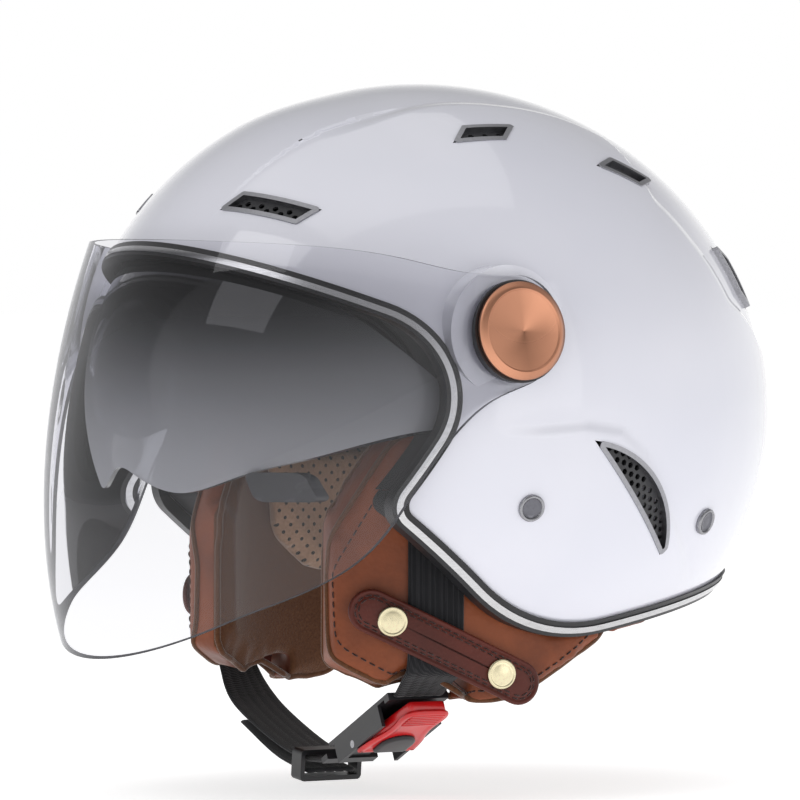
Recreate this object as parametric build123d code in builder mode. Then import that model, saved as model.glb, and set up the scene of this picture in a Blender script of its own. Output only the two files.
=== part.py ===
"""Open face motorcycle helmet with a pivoting face shield and a drop-down sun visor.

Frame: origin at the middle of the face shield's pivot axis, inside the head cavity.
+Z is up, -Y is the way the wearer looks, +X is the wearer's left. Millimetres.
"""

import os
from math import cos, radians, sin, sqrt

from build123d import *

os.makedirs("parts", exist_ok=True)

# ---- shell form: an ellipsoid, pitched so that its brow is raised ----
shell_half_width = 123.0
shell_half_length = 153.0
shell_half_height = 137.0
shell_centre_y = 29.0
shell_centre_z = -33.0
shell_pitch = 3.6
shell_wall = 3.2
reach = 260.0  # long enough for any cutting tool to pass right through

# ---- rim of the shell in the side view: brow, cheek tip, lowest point, nape ----
brow_corner = (-6.0, -7.6)
brow_slope = 0.42
brow_radius = 38.0
cheek_tip = (-43.5, -71.0)
cheek_radius = 8.0
rim_low = (24.0, -126.0)
rim_low_radius = 80.0
nape_slope = 0.169

# ---- edge trim ----
trim_outer_lap = 2.0
trim_depth = 4.2
trim_lip = 1.1
trim_inner_leg = 1.3
strip_width = 2.4
strip_proud = 1.5
strip_bed = 1.0
strip_margin = 0.33

# ---- impact liner, comfort liner ----
liner_gap = 0.5
foam_side = 29.0
foam_length = 33.0
foam_crown = 30.0
foam_bottom_z = -64.0
foam_setback = 2.6
comfort_thickness = 7.7
comfort_gap = 0.3
comfort_bottom_z = -38.0
comfort_setback = 9.0

# ---- sun visor: a ball-shaped lens about its own pivot axis ----
visor_pivot_y = -14.0
visor_pivot_z = -28.0
visor_radius = shell_half_width - 19.5
visor_wall = 1.8
visor_top_angle = 40.0
visor_ear_radius = 10.0
visor_pocket_depth = 2.4
visor_pocket_back_y = 2.0
visor_pin_radius = 2.5
visor_pin_play = 0.06
visor_pin_reach = 6.5
visor_washer = 1.4
visor_end_overrun = 2.0
visor_end_z = -37.0
visor_end_slope = 0.8
# half of the lens's lower edge, nose notch to side, as (x, z)
visor_edge = ((0, -56.0), (9.0, -58.5), (31.0, -65.5), (66.0, -56.5), (85.0, -50.0))
grip_inner_x = 66.0
grip_outer_x = 83.0
grip_centre_z = -62.5
grip_height = 12.0
grip_wall = 3.0

# ---- face shield: an ellipsoid about the pivot axis, leaning forward at the foot ----
shield_half_width = shell_half_width + 0.3
shield_half_depth = 118.6
shield_half_height = 212.6
shield_lean = 21.7
shield_wall = 2.2
shield_ear_radius = 22.5
shield_ear_tuck = 22.0
shield_lip = 2.4
shield_lip_height = 3.0
shield_lip_half_width = 46.0
shield_top_slope = -0.08
shield_ear_slope = 0.4
shield_foot_slope = 0.62
# side view of the upper edge (front to ear) and of the foot edge (ear to front), as (y, z)
shield_top_edge = ((-150.0, 40.0), (-99.0, 36.0), (-46.0, 29.5), (-22.0, 23.7))
shield_foot_edge = (
    (-8.0, -27.0),
    (-27.0, -43.0),
    (-42.0, -65.5),
    (-61.0, -92.0),
    (-90.0, -109.5),
    (-150.0, -147.0),
)

# ---- face shield pivot ----
pivot_boss_radius = 26.5
pivot_gap = 0.35
pivot_screw_radius = 4.0
pivot_screw_play = 0.06
pivot_screw_inner_x = shell_half_width - 16.0
pivot_bush_wall = 0.5
screw_head_radius = 8.0
screw_head_height = 1.2
cap_radius = 19.8
cap_face_radius = 16.2
cap_height = 4.0
cap_bevel = 1.6
cap_ring_radius = 20.6
cap_ring_height = 0.6
cap_tilt = 6.0

# ---- vents ----
vent_frame_wall = 2.0
vent_proud = 0.6
vent_depth = 4.4
vent_channel = 14.0
vent_corner = 0.12  # corner radius as a share of the vent's width
crescent_blunt = 0.3
crescent_bulge = 0.1
mesh_depth = 2.4
mesh_wall = 1.2
mesh_hole_radius = 1.35
mesh_pitch = 1.9

# ---- cheek pads, between upright elliptic cylinders ----
pad_half_width = shell_half_width - foam_side - 5.0
pad_half_length = shell_half_length - 45.0
pad_centre_y = shell_centre_y
pad_thickness = 19.0
pad_inner_thickness = 8.0
pad_joint_gap = 0.3
pad_rim_gap = 1.0
pad_back = 0.3796
pad_back_y = pad_centre_y + pad_back * pad_half_length
pad_top_z = -41.0
pad_front = -0.7315
pad_front_turn = 17.6
# side view of the pad: share of its half length back from its centre, z, corner radius
pad_corners = (
    (-0.5185, pad_top_z, 12.0),
    (-0.787, -98.0, 14.0),
    (-0.7685, -130.0, 18.0),
    (-0.4352, -152.0, 16.0),
    (-0.0648, -151.0, 12.0),
    (pad_back, -124.0, 10.0),
    (pad_back, pad_top_z, 8.0),
)
# side view of the pad's soft inner face, in the same way
pad_inner_corners = (
    (-0.3981, -50.0, 10.0),
    (-0.3611, -88.0, 12.0),
    (-0.1759, -104.0, 12.0),
    (0.1481, -104.0, 12.0),
    (0.2963, -90.0, 10.0),
    (0.2963, -50.0, 8.0),
)
cheek_foam_low_z = -108.0
cheek_foam_relief = 1.5

# ---- neck roll ----
neck_half_width = pad_half_width - 3.0
neck_half_length = pad_half_length + 10.0
neck_thickness = 20.0
neck_front_y = pad_back_y + 4.0
neck_length = 76.0
neck_above_rim = 16.0
neck_below_rim = 8.0

# ---- leather tab with two snaps, left and right ----
tab_length = 86.0
tab_width = 18.0
tab_thickness = 2.4
tab_centre_y = -11.0
tab_centre_z = -128.0
tab_slope = 26.0
tab_stand_off = 4.8
snap_spacing = 50.0
snap_radius = 6.2
snap_height = 2.4
stud_radius = 4.0

# ---- chin strap ----
strap_width = 23.0
strap_thickness = 1.8
strap_centre_y = -14.0
strap_top_z = -84.0
strap_stand_off = 1.9
strap_relief = 5.0
strap_relief_depth = 7.5
left_turn_z = -136.0
right_turn_z = -144.0
right_turn_lean = 30.0
# under the chin, from the right-hand turn towards the buckle, as (x, z, slope of the run)
chin_run = ((-66.0, -160.0, -28.0), (-30.0, -173.5, -16.0), (-6.0, -178.5, -6.0))
fold_run = ((-60.0, -167.0, -24.0), (-30.0, -178.6, -16.0), (-3.0, -183.9, -6.0))
slider_at = 2
slider_bar = 2.0
slider_length = 8.0
slider_play = 1.0

# ---- strap rivets ----
# places as shares of the shell's half length and half height from its centre
rivet_places = ((-0.1176, -0.2774), (0.5033, -0.3358))
rivet_radius = 5.6
rivet_head = 1.6
rivet_shank_radius = 3.0
rivet_length = 12.0

# ---- ratchet buckle; along runs down towards the middle of the chin, out is away from it ----
buckle_slope = 26.0
buckle_centre_x = 52.0
buckle_centre_z = -157.0
buckle_half_width = 14.0
buckle_plate = 1.6
buckle_plate_end = 34.0
buckle_plate_start = -16.0
buckle_bar = 4.0
wall_start = -10.0
wall_end = 30.0
wall_height = 9.0
wall_thickness = 1.6
lever_pin_along = 16.0
lever_pin_out = 6.2
lever_pin_radius = 1.6
lever_pin_play = 0.06
lever_boss_radius = 2.4
lever_start = -27.0
lever_grip_end = -12.0
lever_low = 4.5
lever_high = 8.7
lever_half_width = 11.5
lever_rib_count = 4
lever_rib = 1.2
lever_slot_half_width = 4.0
spring_wire = 0.75
spring_half_length = 3.5
pad_disc_radius = 8.0
pad_disc_along = 5.0
pad_disc_height = 1.5
tongue_half_width = 7.5
tongue_low = 0.4
tongue_high = 1.9
tongue_start = 4.0
tongue_end = 46.0
tongue_tooth = 0.9
tongue_tooth_pitch = 3.0
tongue_tooth_count = 9
tongue_head_half_width = 12.0
tongue_head_length = 5.0


def ellipsoid(half_x, half_y, half_z, place):
    """Return a solid ellipsoid set at a location."""
    with BuildPart() as solid:
        Sphere(1, rotation=(0, 0, -90))
        scale(by=(half_x, half_y, half_z))
    return solid.part.moved(place)


def dome(inset, extra_width=0.0, extra_length=0.0, extra_height=0.0):
    """Return the shell's solid ellipsoid, every half axis shorter by inset and by its own extra."""
    return ellipsoid(
        shell_half_width - inset - extra_width,
        shell_half_length - inset - extra_length,
        shell_half_height - inset - extra_height,
        Location((0, shell_centre_y, shell_centre_z), (-shell_pitch, 0, 0)),
    )


def shell_frame(back, up, heading):
    """Return the plane touching the left side of the shell, with x near heading.

    Its place is given as shares of the shell's half length and half height from the centre."""
    tilt = radians(shell_pitch)
    dy = back * shell_half_length
    dz = up * shell_half_height
    local_y = dy * cos(tilt) - dz * sin(tilt)
    local_z = dy * sin(tilt) + dz * cos(tilt)
    x = shell_half_width * sqrt(1 - (local_y / shell_half_length) ** 2 - (local_z / shell_half_height) ** 2)
    slope_x = x / shell_half_width**2
    slope_y = local_y / shell_half_length**2
    slope_z = local_z / shell_half_height**2
    normal = Vector(
        slope_x,
        slope_y * cos(tilt) + slope_z * sin(tilt),
        slope_z * cos(tilt) - slope_y * sin(tilt),
    ).normalized()
    along = Vector(*heading)
    along = along - normal * along.dot(normal)
    place = (x, shell_centre_y + dy, shell_centre_z + dz)
    return Plane(origin=place, x_dir=along.normalized(), z_dir=normal)


def opening(grow):
    """Return the side-view face of everything in front of and below the rim, grown by grow."""
    brow_front = (brow_corner[0] - reach, brow_corner[1] + brow_slope * reach)
    nape_back = (rim_low[0] + reach, rim_low[1] + nape_slope * reach)
    with BuildSketch(Plane.YZ) as face:
        with BuildLine():
            FilletPolyline(
                brow_front,
                brow_corner,
                cheek_tip,
                rim_low,
                nape_back,
                radius=(brow_radius, cheek_radius, rim_low_radius),
            )
            Polyline(nape_back, (nape_back[0], -reach), (brow_front[0], -reach), brow_front)
        make_face()
        if grow:
            offset(amount=grow, kind=Kind.ARC)
    return face.sketch


def through(face):
    """Return a side-view face carried right through the helmet along X."""
    with BuildPart() as tool:
        extrude(face, amount=reach, both=True)
    return tool.part


def mirrored(part):
    """Return the right-hand twin of a left-hand piece."""
    with BuildPart() as twin:
        mirror(part, about=Plane.YZ)
    return twin.part


def prism(plane, outline, out, depth):
    """Return an outline carried from out above a plane to depth below it."""
    with BuildPart() as tool:
        with BuildSketch(plane.offset(-depth)):
            add(outline)
        extrude(amount=out + depth)
    return tool.part


def rod(plane, radius, out, depth):
    """Return a rod square to a plane, from out above it to depth below it."""
    with BuildPart() as solid:
        with BuildSketch(plane.offset(-depth)):
            Circle(radius)
        extrude(amount=out + depth)
    return solid.part


def side_rod(y, z, radius, inner_x, outer_x):
    """Return a rod along X on the left side."""
    place = Plane(origin=(inner_x, y, z), x_dir=(0, 1, 0), z_dir=(1, 0, 0))
    return rod(place, radius, outer_x - inner_x, 0)


def grown(outline, amount):
    """Return an outline grown (or shrunk) by amount."""
    with BuildSketch() as face:
        add(outline)
        offset(amount=amount, kind=Kind.INTERSECTION)
    return face.sketch


def upright(out, half_width, half_length):
    """Return an upright elliptic cylinder about the pads' centre line, grown by out."""
    with BuildPart() as solid:
        with BuildSketch(Plane((0, pad_centre_y, -reach))):
            Ellipse(half_width + out, half_length + out)
        extrude(amount=2 * reach)
    return solid.part


def pad_band(low, high):
    """Return the ring between two stand-offs from the cheek pads' outer face."""
    with BuildPart() as band:
        add(upright(high, pad_half_width, pad_half_length))
        add(upright(low, pad_half_width, pad_half_length), mode=Mode.SUBTRACT)
    return band.part


def save(part, name):
    """Label a finished piece and write its STEP file."""
    part.label = name
    export_step(part, f"parts/{name}.step")


def save_pair(part, name):
    """Write a left-hand piece and its mirrored twin."""
    save(part, f"{name}_left")
    save(mirrored(part), f"{name}_right")


# ---- vent outlines ----
def blade_outline(length, width, skew):
    """Return a slanted blade-shaped outline."""
    with BuildSketch() as face:
        with BuildLine():
            Polyline(
                (-length / 2, -width / 2),
                (length / 2 - skew, -width / 2),
                (length / 2, width / 2),
                (-length / 2 + skew, width / 2),
                close=True,
            )
        make_face()
        fillet(face.vertices(), radius=width * vent_corner)
    return face.sketch


def crescent_outline(length, width):
    """Return a crescent with one straight edge, blunt at its rear end."""
    blunt = width * crescent_blunt
    with BuildSketch() as face:
        with BuildLine():
            Line((-length / 2, 0), (length / 2, 0))
            Line((length / 2, 0), (length / 2, blunt))
            ThreePointArc((length / 2, blunt), (length * crescent_bulge, width), (-length / 2, 0))
        make_face()
        fillet(face.vertices(), radius=width * vent_corner)
    return face.sketch


# name: place of the middle as shares of the shell's half length and half height from its centre,
# heading of its long edge, outline
vents = {
    "vent_front": (-0.6732, 0.6058, (33, 20, -7), blade_outline(44.0, 10.5, 7.0)),
    "vent_crown": (-0.0719, 0.8285, (0.5, 26, 1), blade_outline(34.0, 10.5, 9.0)),
    "vent_upper_rear": (0.3529, 0.7153, (-1, 23, -9), blade_outline(34.0, 11.0, 10.0)),
    "vent_rear": (0.732, 0.4015, (2, 14, -26), blade_outline(34.0, 10.0, 10.0)),
    "vent_side": (0.2026, -0.2628, (-14, 43, -48), crescent_outline(68.0, 14.5)),
}
vent_planes = {name: shell_frame(back, up, heading) for name, (back, up, heading, _) in vents.items()}
vent_windows = {
    name: prism(vent_planes[name], vents[name][3], vent_channel, vent_channel) for name in vents
}
vent_channels = {
    name: prism(vent_planes[name], grown(vents[name][3], liner_gap), vent_channel, vent_channel)
    for name in vents
}

# ---- places that several pieces share ----
pivot_plane_x = shield_half_width - shield_wall - pivot_gap
seat_half_depth = shield_half_depth - shield_wall - pivot_gap
seat_form = ellipsoid(pivot_plane_x, seat_half_depth, seat_half_depth, Location((0, 0, 0)))
bush_radius = pivot_screw_radius + pivot_bush_wall
bush_hole = side_rod(0, 0, bush_radius, pivot_screw_inner_x, reach)
boss_rod = side_rod(0, 0, pivot_boss_radius, pivot_screw_inner_x, reach)
with BuildPart() as boss_seat:
    add(boss_rod)
    add(seat_form, mode=Mode.SUBTRACT)
rivet_planes = [shell_frame(back, up, (0, 1, 0)) for back, up in rivet_places]
rivet_holes = [rod(plane, rivet_shank_radius, rivet_length, rivet_length) for plane in rivet_planes]

# ---- outer shell: vent windows, screw and rivet holes, a domed seat under each shield ear ----
with BuildPart() as outer_shell:
    add(dome(0))
    add(dome(shell_wall), mode=Mode.SUBTRACT)
    add(through(opening(0)), mode=Mode.SUBTRACT)
    for tool in (*vent_windows.values(), *rivet_holes, bush_hole, boss_seat.part):
        add(tool, mode=Mode.SUBTRACT)
        add(mirrored(tool), mode=Mode.SUBTRACT)
save(outer_shell.part, "outer_shell")

# ---- rim trim: a rubber channel on the shell's edge, with a bright strip let into it ----
with BuildPart() as rim_strip:
    add(dome(-strip_proud))
    add(dome(strip_bed), mode=Mode.SUBTRACT)
    add(through(opening(-strip_margin)), mode=Mode.INTERSECT)
    add(through(opening(-strip_margin - strip_width)), mode=Mode.SUBTRACT)
save(rim_strip.part, "rim_strip")

with BuildPart() as rim_rubber:
    add(dome(-trim_lip))
    add(dome(shell_wall + trim_inner_leg), mode=Mode.SUBTRACT)
    add(through(opening(trim_outer_lap)), mode=Mode.INTERSECT)
    add(through(opening(-trim_depth)), mode=Mode.SUBTRACT)
    add(outer_shell.part, mode=Mode.SUBTRACT)
    add(rim_strip.part, mode=Mode.SUBTRACT)
save(rim_rubber.part, "rim_rubber")


# ---- impact liner: foam between the shell and the comfort liner, with the sun visor's pocket ----
def visor_ball(grow):
    """Return the ball that the sun visor's outer face lies on, grown by grow."""
    return ellipsoid(
        visor_radius + grow,
        visor_radius + grow,
        visor_radius + grow,
        Location((0, visor_pivot_y, visor_pivot_z)),
    )


with BuildPart() as visor_pocket:
    add(visor_ball(visor_pocket_depth))
    add(visor_ball(-visor_pocket_depth - visor_wall / 2), mode=Mode.SUBTRACT)
    with Locations((0, visor_pocket_back_y - reach / 2, 0)):
        Box(2 * reach, reach, 2 * reach, mode=Mode.INTERSECT)

visor_pin_inner_x = visor_radius - visor_pin_reach
visor_pin_outer_x = visor_radius + visor_pin_reach
foam_inner_face = dome(0, foam_side, foam_length, foam_crown)
pin_hole = side_rod(
    visor_pivot_y, visor_pivot_z, visor_pin_radius + liner_gap, visor_pin_inner_x - foam_side, reach
)
liner_screw_hole = side_rod(0, 0, bush_radius + liner_gap, pivot_screw_inner_x - foam_side, reach)
with BuildPart() as impact_liner:
    add(dome(shell_wall + liner_gap))
    add(foam_inner_face, mode=Mode.SUBTRACT)
    add(through(opening(foam_setback)), mode=Mode.SUBTRACT)
    add(visor_pocket.part, mode=Mode.SUBTRACT)
    split(bisect_by=Plane.XY.offset(foam_bottom_z), keep=Keep.TOP)
    for tool in (*vent_channels.values(), liner_screw_hole, pin_hole):
        add(tool, mode=Mode.SUBTRACT)
        add(mirrored(tool), mode=Mode.SUBTRACT)
save(impact_liner.part, "impact_liner")

with BuildPart() as comfort_liner:
    add(dome(comfort_gap, foam_side, foam_length, foam_crown))
    add(dome(comfort_gap + comfort_thickness, foam_side, foam_length, foam_crown), mode=Mode.SUBTRACT)
    add(through(opening(comfort_setback)), mode=Mode.SUBTRACT)
    split(bisect_by=Plane.XY.offset(comfort_bottom_z), keep=Keep.TOP)
save(comfort_liner.part, "comfort_liner")

# ---- vents: a frame and a perforated mesh in each window ----
vent_outer = dome(-vent_proud)
vent_inner = dome(vent_depth)
mesh_top = dome(mesh_depth)
mesh_bottom = dome(mesh_depth + mesh_wall)
hole_step_x = mesh_pitch * sqrt(3)
hole_step_y = mesh_pitch * 1.5
for name, (_, _, _, outline) in vents.items():
    mouth = grown(outline, -vent_frame_wall)
    mouth_prism = prism(vent_planes[name], mouth, vent_channel, vent_channel)
    with BuildPart() as frame:
        add(vent_windows[name])
        add(mouth_prism, mode=Mode.SUBTRACT)
        add(vent_outer, mode=Mode.INTERSECT)
        add(vent_inner, mode=Mode.SUBTRACT)
    save_pair(frame.part, f"{name}_frame")
    window = mouth.bounding_box()
    with BuildPart() as mesh:
        add(mouth_prism)
        add(mesh_top, mode=Mode.INTERSECT)
        add(mesh_bottom, mode=Mode.SUBTRACT)
        with BuildSketch(vent_planes[name].offset(-vent_channel)):
            with Locations((window.center().X, window.center().Y)):
                with HexLocations(
                    mesh_pitch,
                    max(1, int(window.size.X / hole_step_x) - 1),
                    max(1, int(window.size.Y / hole_step_y) - 1),
                ):
                    RegularPolygon(mesh_hole_radius, 6)
        extrude(amount=2 * vent_channel, mode=Mode.SUBTRACT)
    save_pair(mesh.part, f"{name}_mesh")

# ---- sun visor: lens, the grip on its lower left edge, and the pins it turns on ----
visor_ear_place = Plane(origin=(0, visor_pivot_y, visor_pivot_z), x_dir=(0, 1, 0), z_dir=(1, 0, 0))
lens_cut = Plane(
    origin=(0, visor_pivot_y, visor_pivot_z),
    z_dir=(0, sin(radians(visor_top_angle)), cos(radians(visor_top_angle))),
)
lens_end_x = visor_radius + visor_end_overrun
with BuildPart() as lens_front:
    with BuildSketch(Plane.XZ.offset(-visor_pivot_y)):
        with BuildLine():
            lower_edge = Spline(
                *visor_edge, (lens_end_x, visor_end_z), tangents=((1, 0), (1, visor_end_slope))
            )
            Polyline(lower_edge @ 1, (lens_end_x, lens_end_x), (0, lens_end_x), lower_edge @ 0)
        make_face()
        mirror(about=Plane.YZ)
    extrude(amount=reach)
    split(bisect_by=lens_cut, keep=Keep.BOTTOM)

with BuildPart() as sun_visor:
    add(lens_front.part)
    add(rod(visor_ear_place, visor_ear_radius, reach, reach))
    add(visor_ball(0), mode=Mode.INTERSECT)
    add(visor_ball(-visor_wall), mode=Mode.SUBTRACT)
    add(rod(visor_ear_place, visor_pin_radius + visor_pin_play, reach, reach), mode=Mode.SUBTRACT)
save(sun_visor.part, "sun_visor")

with BuildPart() as sun_visor_grip:
    with BuildSketch(Plane.XZ.offset(-visor_pivot_y)):
        with Locations(((grip_inner_x + grip_outer_x) / 2, grip_centre_z)):
            RectangleRounded(grip_outer_x - grip_inner_x, grip_height, grip_wall)
    extrude(amount=reach)
    add(visor_ball(grip_wall), mode=Mode.INTERSECT)
    add(visor_ball(0), mode=Mode.SUBTRACT)
save(sun_visor_grip.part, "sun_visor_grip")

washer_x = visor_radius + pad_joint_gap
visor_pin = side_rod(visor_pivot_y, visor_pivot_z, visor_pin_radius, visor_pin_inner_x, visor_pin_outer_x)
visor_pin_washer = side_rod(
    visor_pivot_y, visor_pivot_z, 2 * visor_pin_radius, washer_x, washer_x + visor_washer
)
with BuildPart() as sun_visor_pins:
    add(visor_pin)
    add(visor_pin_washer)
    mirror(about=Plane.YZ)
save(sun_visor_pins.part, "sun_visor_pins")


# ---- face shield: a bubble with an ear round each pivot and a turned-out lip at its foot ----
def shield_form(inset):
    """Return the shield's solid ellipsoid, every half axis shorter by inset."""
    return ellipsoid(
        shield_half_width - inset,
        shield_half_depth - inset,
        shield_half_height - inset,
        Location((0, 0, 0), (-shield_lean, 0, 0)),
    )


ear_top = (0, shield_ear_radius)
ear_foot = (
    shield_ear_radius * sin(radians(shield_ear_tuck)),
    -shield_ear_radius * cos(radians(shield_ear_tuck)),
)
with BuildSketch(Plane.YZ) as shield_side:
    with BuildLine():
        top_edge = Spline(*shield_top_edge, ear_top, tangents=((1, shield_top_slope), (1, 0)))
        ThreePointArc(ear_top, (shield_ear_radius, 0), ear_foot)
        foot_edge = Spline(
            ear_foot, *shield_foot_edge, tangents=((-1, -shield_ear_slope), (-1, -shield_foot_slope))
        )
        Line(foot_edge @ 1, top_edge @ 0)
    make_face()
raised_side = shield_side.sketch.moved(Location((0, 0, shield_lip_height)))
with BuildSketch(Plane.YZ) as lip_side:
    add(shield_side.sketch)
    add(raised_side, mode=Mode.SUBTRACT)
    with Locations((-reach / 2, -reach / 2)):
        Rectangle(reach, reach, mode=Mode.INTERSECT)
with BuildPart() as shield_foot:
    extrude(lip_side.sketch, amount=shield_lip_half_width, both=True)
    add(shield_form(-shield_lip), mode=Mode.INTERSECT)
    add(shield_form(shield_wall), mode=Mode.SUBTRACT)

with BuildPart() as face_shield:
    add(shield_form(0))
    add(shield_form(shield_wall), mode=Mode.SUBTRACT)
    add(through(shield_side.sketch), mode=Mode.INTERSECT)
    add(shield_foot.part)
    with BuildSketch(Plane.YZ):
        Circle(pivot_screw_radius + pivot_screw_play)
    extrude(amount=reach, both=True, mode=Mode.SUBTRACT)
save(face_shield.part, "face_shield")

# ---- face shield pivot: boss with its bush, screw, wedge ring and cap on each side ----
with BuildPart() as pivot_base:
    add(boss_rod)
    add(seat_form, mode=Mode.INTERSECT)
    add(dome(0), mode=Mode.SUBTRACT)
    add(side_rod(0, 0, bush_radius, pivot_screw_inner_x, pivot_plane_x - pivot_bush_wall))
    add(side_rod(0, 0, pivot_screw_radius, pivot_screw_inner_x, reach), mode=Mode.SUBTRACT)
save_pair(pivot_base.part, "pivot_base")

cap_seat_x = shield_half_width + pivot_gap
cap_lift = cap_ring_radius * sin(radians(cap_tilt))
cap_plane = Plane(
    origin=(cap_seat_x + cap_ring_height + cap_lift, 0, 0),
    x_dir=(0, 1, 0),
    z_dir=(cos(radians(cap_tilt)), 0, sin(radians(cap_tilt))),
)
screw_head = side_rod(0, 0, screw_head_radius, cap_seat_x, cap_seat_x + screw_head_height)
with BuildPart() as pivot_screw:
    add(side_rod(0, 0, pivot_screw_radius, pivot_screw_inner_x, cap_seat_x))
    add(screw_head)
save_pair(pivot_screw.part, "pivot_screw")

with BuildPart() as cap_ring:
    add(side_rod(0, 0, cap_ring_radius, cap_seat_x, reach))
    split(bisect_by=cap_plane, keep=Keep.BOTTOM)
    add(screw_head, mode=Mode.SUBTRACT)
save_pair(cap_ring.part, "pivot_cap_ring")

with BuildPart() as pivot_cap:
    with BuildSketch(cap_plane):
        Circle(cap_radius)
    extrude(amount=cap_height - cap_bevel)
    with BuildSketch(cap_plane.offset(cap_height - cap_bevel)):
        Circle(cap_radius)
    with BuildSketch(cap_plane.offset(cap_height)):
        Circle(cap_face_radius)
    loft()
save_pair(pivot_cap.part, "pivot_cap")

# ---- strap and buckle places ----
buckle_tilt = radians(buckle_slope)
buckle_along = Vector(-cos(buckle_tilt), 0, -sin(buckle_tilt))
buckle_out = Vector(sin(buckle_tilt), 0, -cos(buckle_tilt))
buckle_origin = Vector(buckle_centre_x, strap_centre_y, buckle_centre_z)
buckle_plane = Plane(origin=buckle_origin, x_dir=buckle_along, z_dir=buckle_out)


def buckle_block(start, end, half_width, low, high):
    """Return a block on the buckle's plane between two places along it and two heights."""
    with BuildPart() as block:
        with BuildSketch(buckle_plane.offset(low)):
            with Locations(((start + end) / 2, 0)):
                Rectangle(end - start, 2 * half_width)
        extrude(amount=high - low)
    return block.part


def cross_rod(along, out, radius, half_length):
    """Return a rod that lies across the buckle."""
    centre = buckle_origin + buckle_along * along + buckle_out * out
    return rod(Plane(origin=centre, x_dir=(1, 0, 0), z_dir=(0, 1, 0)), radius, half_length, half_length)


strap_channel = buckle_block(-reach, reach, strap_width / 2 + strap_relief, -strap_relief_depth, reach)


# ---- cheek pads, their soft inner faces, and the foam block behind each ----
def pad_outline(corners):
    """Return the side-view face of a cheek piece with rounded corners."""
    with BuildSketch(Plane.YZ) as face:
        with BuildLine():
            FilletPolyline(
                *[(pad_centre_y + back * pad_half_length, z) for back, z, _ in corners],
                radius=[radius for _, _, radius in corners],
                close=True,
            )
        make_face()
    return face.sketch


pad_front_edge = Plane(
    origin=(
        pad_half_width * sqrt(1 - pad_front**2),
        pad_centre_y + pad_front * pad_half_length,
        0,
    ),
    x_dir=(0, 0, 1),
    z_dir=(sin(radians(pad_front_turn)), cos(radians(pad_front_turn)), 0),
)

with BuildPart() as rim_relief:
    add(dome(-trim_lip))
    add(dome(shell_wall + trim_inner_leg + pad_rim_gap), mode=Mode.SUBTRACT)
    add(through(opening(trim_outer_lap + pad_rim_gap)), mode=Mode.INTERSECT)
    add(through(opening(-trim_depth - pad_rim_gap)), mode=Mode.SUBTRACT)

with BuildPart() as cheek_pad:
    add(pad_band(-pad_thickness, 0))
    add(through(pad_outline(pad_corners)), mode=Mode.INTERSECT)
    split(bisect_by=Plane.YZ, keep=Keep.TOP)
    split(bisect_by=pad_front_edge, keep=Keep.TOP)
    for tool in (strap_channel, rim_relief.part):
        add(tool, mode=Mode.SUBTRACT)
save_pair(cheek_pad.part, "cheek_pad")

inner_face = -pad_thickness - pad_joint_gap
with BuildPart() as cheek_inner:
    add(pad_band(inner_face - pad_inner_thickness, inner_face))
    add(through(pad_outline(pad_inner_corners)), mode=Mode.INTERSECT)
    split(bisect_by=Plane.YZ, keep=Keep.TOP)
save_pair(cheek_inner.part, "cheek_inner")

foam_face = strap_stand_off + strap_thickness + cheek_foam_relief
foam_top_z = foam_bottom_z - pad_joint_gap
with BuildPart() as cheek_foam:
    add(dome(shell_wall + liner_gap))
    add(upright(foam_face, pad_half_width, pad_half_length), mode=Mode.SUBTRACT)
    add(through(opening(foam_setback)), mode=Mode.SUBTRACT)
    with Locations((reach / 2, pad_back_y - reach / 2, (foam_top_z + cheek_foam_low_z) / 2)):
        Box(reach, reach, foam_top_z - cheek_foam_low_z, mode=Mode.INTERSECT)
    add(vent_channels["vent_side"], mode=Mode.SUBTRACT)
    add(rod(rivet_planes[0], rivet_radius, rivet_length, rivet_length + strap_relief), mode=Mode.SUBTRACT)
save_pair(cheek_foam.part, "cheek_foam")

# ---- neck roll: a soft ring round the nape that follows the rim ----
rim_at_neck = rim_low[1] + nape_slope * (neck_front_y - rim_low[0])
rim_at_nape = rim_at_neck + nape_slope * neck_length
with BuildSketch(Plane.YZ) as neck_side:
    with BuildLine():
        Polyline(
            (neck_front_y, rim_at_neck - neck_below_rim),
            (neck_front_y + neck_length, rim_at_nape - neck_below_rim),
            (neck_front_y + neck_length, rim_at_nape + neck_above_rim),
            (neck_front_y, rim_at_neck + neck_above_rim),
            close=True,
        )
    make_face()
with BuildPart() as neck_roll:
    add(upright(0, neck_half_width, neck_half_length))
    add(upright(-neck_thickness, neck_half_width, neck_half_length), mode=Mode.SUBTRACT)
    add(through(neck_side.sketch), mode=Mode.INTERSECT)
save(neck_roll.part, "neck_roll")


# ---- leather tab over each chin strap, held by two snaps on studs ----
def pad_plane(y, z, out):
    """Return a plane lying against the left cheek pad, out from it, with x along the pad."""
    x = pad_half_width * sqrt(1 - ((y - pad_centre_y) / pad_half_length) ** 2)
    normal = Vector(x / pad_half_width**2, (y - pad_centre_y) / pad_half_length**2, 0).normalized()
    return Plane(origin=Vector(x, y, z) + normal * out, x_dir=(-normal.Y, normal.X, 0), z_dir=normal)


tab_face = pad_plane(tab_centre_y, tab_centre_z, tab_stand_off)
tab_plane = Plane(
    origin=tab_face.origin,
    x_dir=tab_face.x_dir * cos(radians(tab_slope)) - Vector(0, 0, sin(radians(tab_slope))),
    z_dir=tab_face.z_dir,
)
tab_outer = tab_stand_off + tab_thickness
with BuildSketch() as tab_outline:
    SlotOverall(tab_length, tab_width)
with BuildSketch() as snap_outline:
    with GridLocations(snap_spacing, 0, 2, 1):
        Circle(snap_radius)
with BuildSketch() as stud_outline:
    with GridLocations(snap_spacing, 0, 2, 1):
        Circle(stud_radius)

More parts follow.
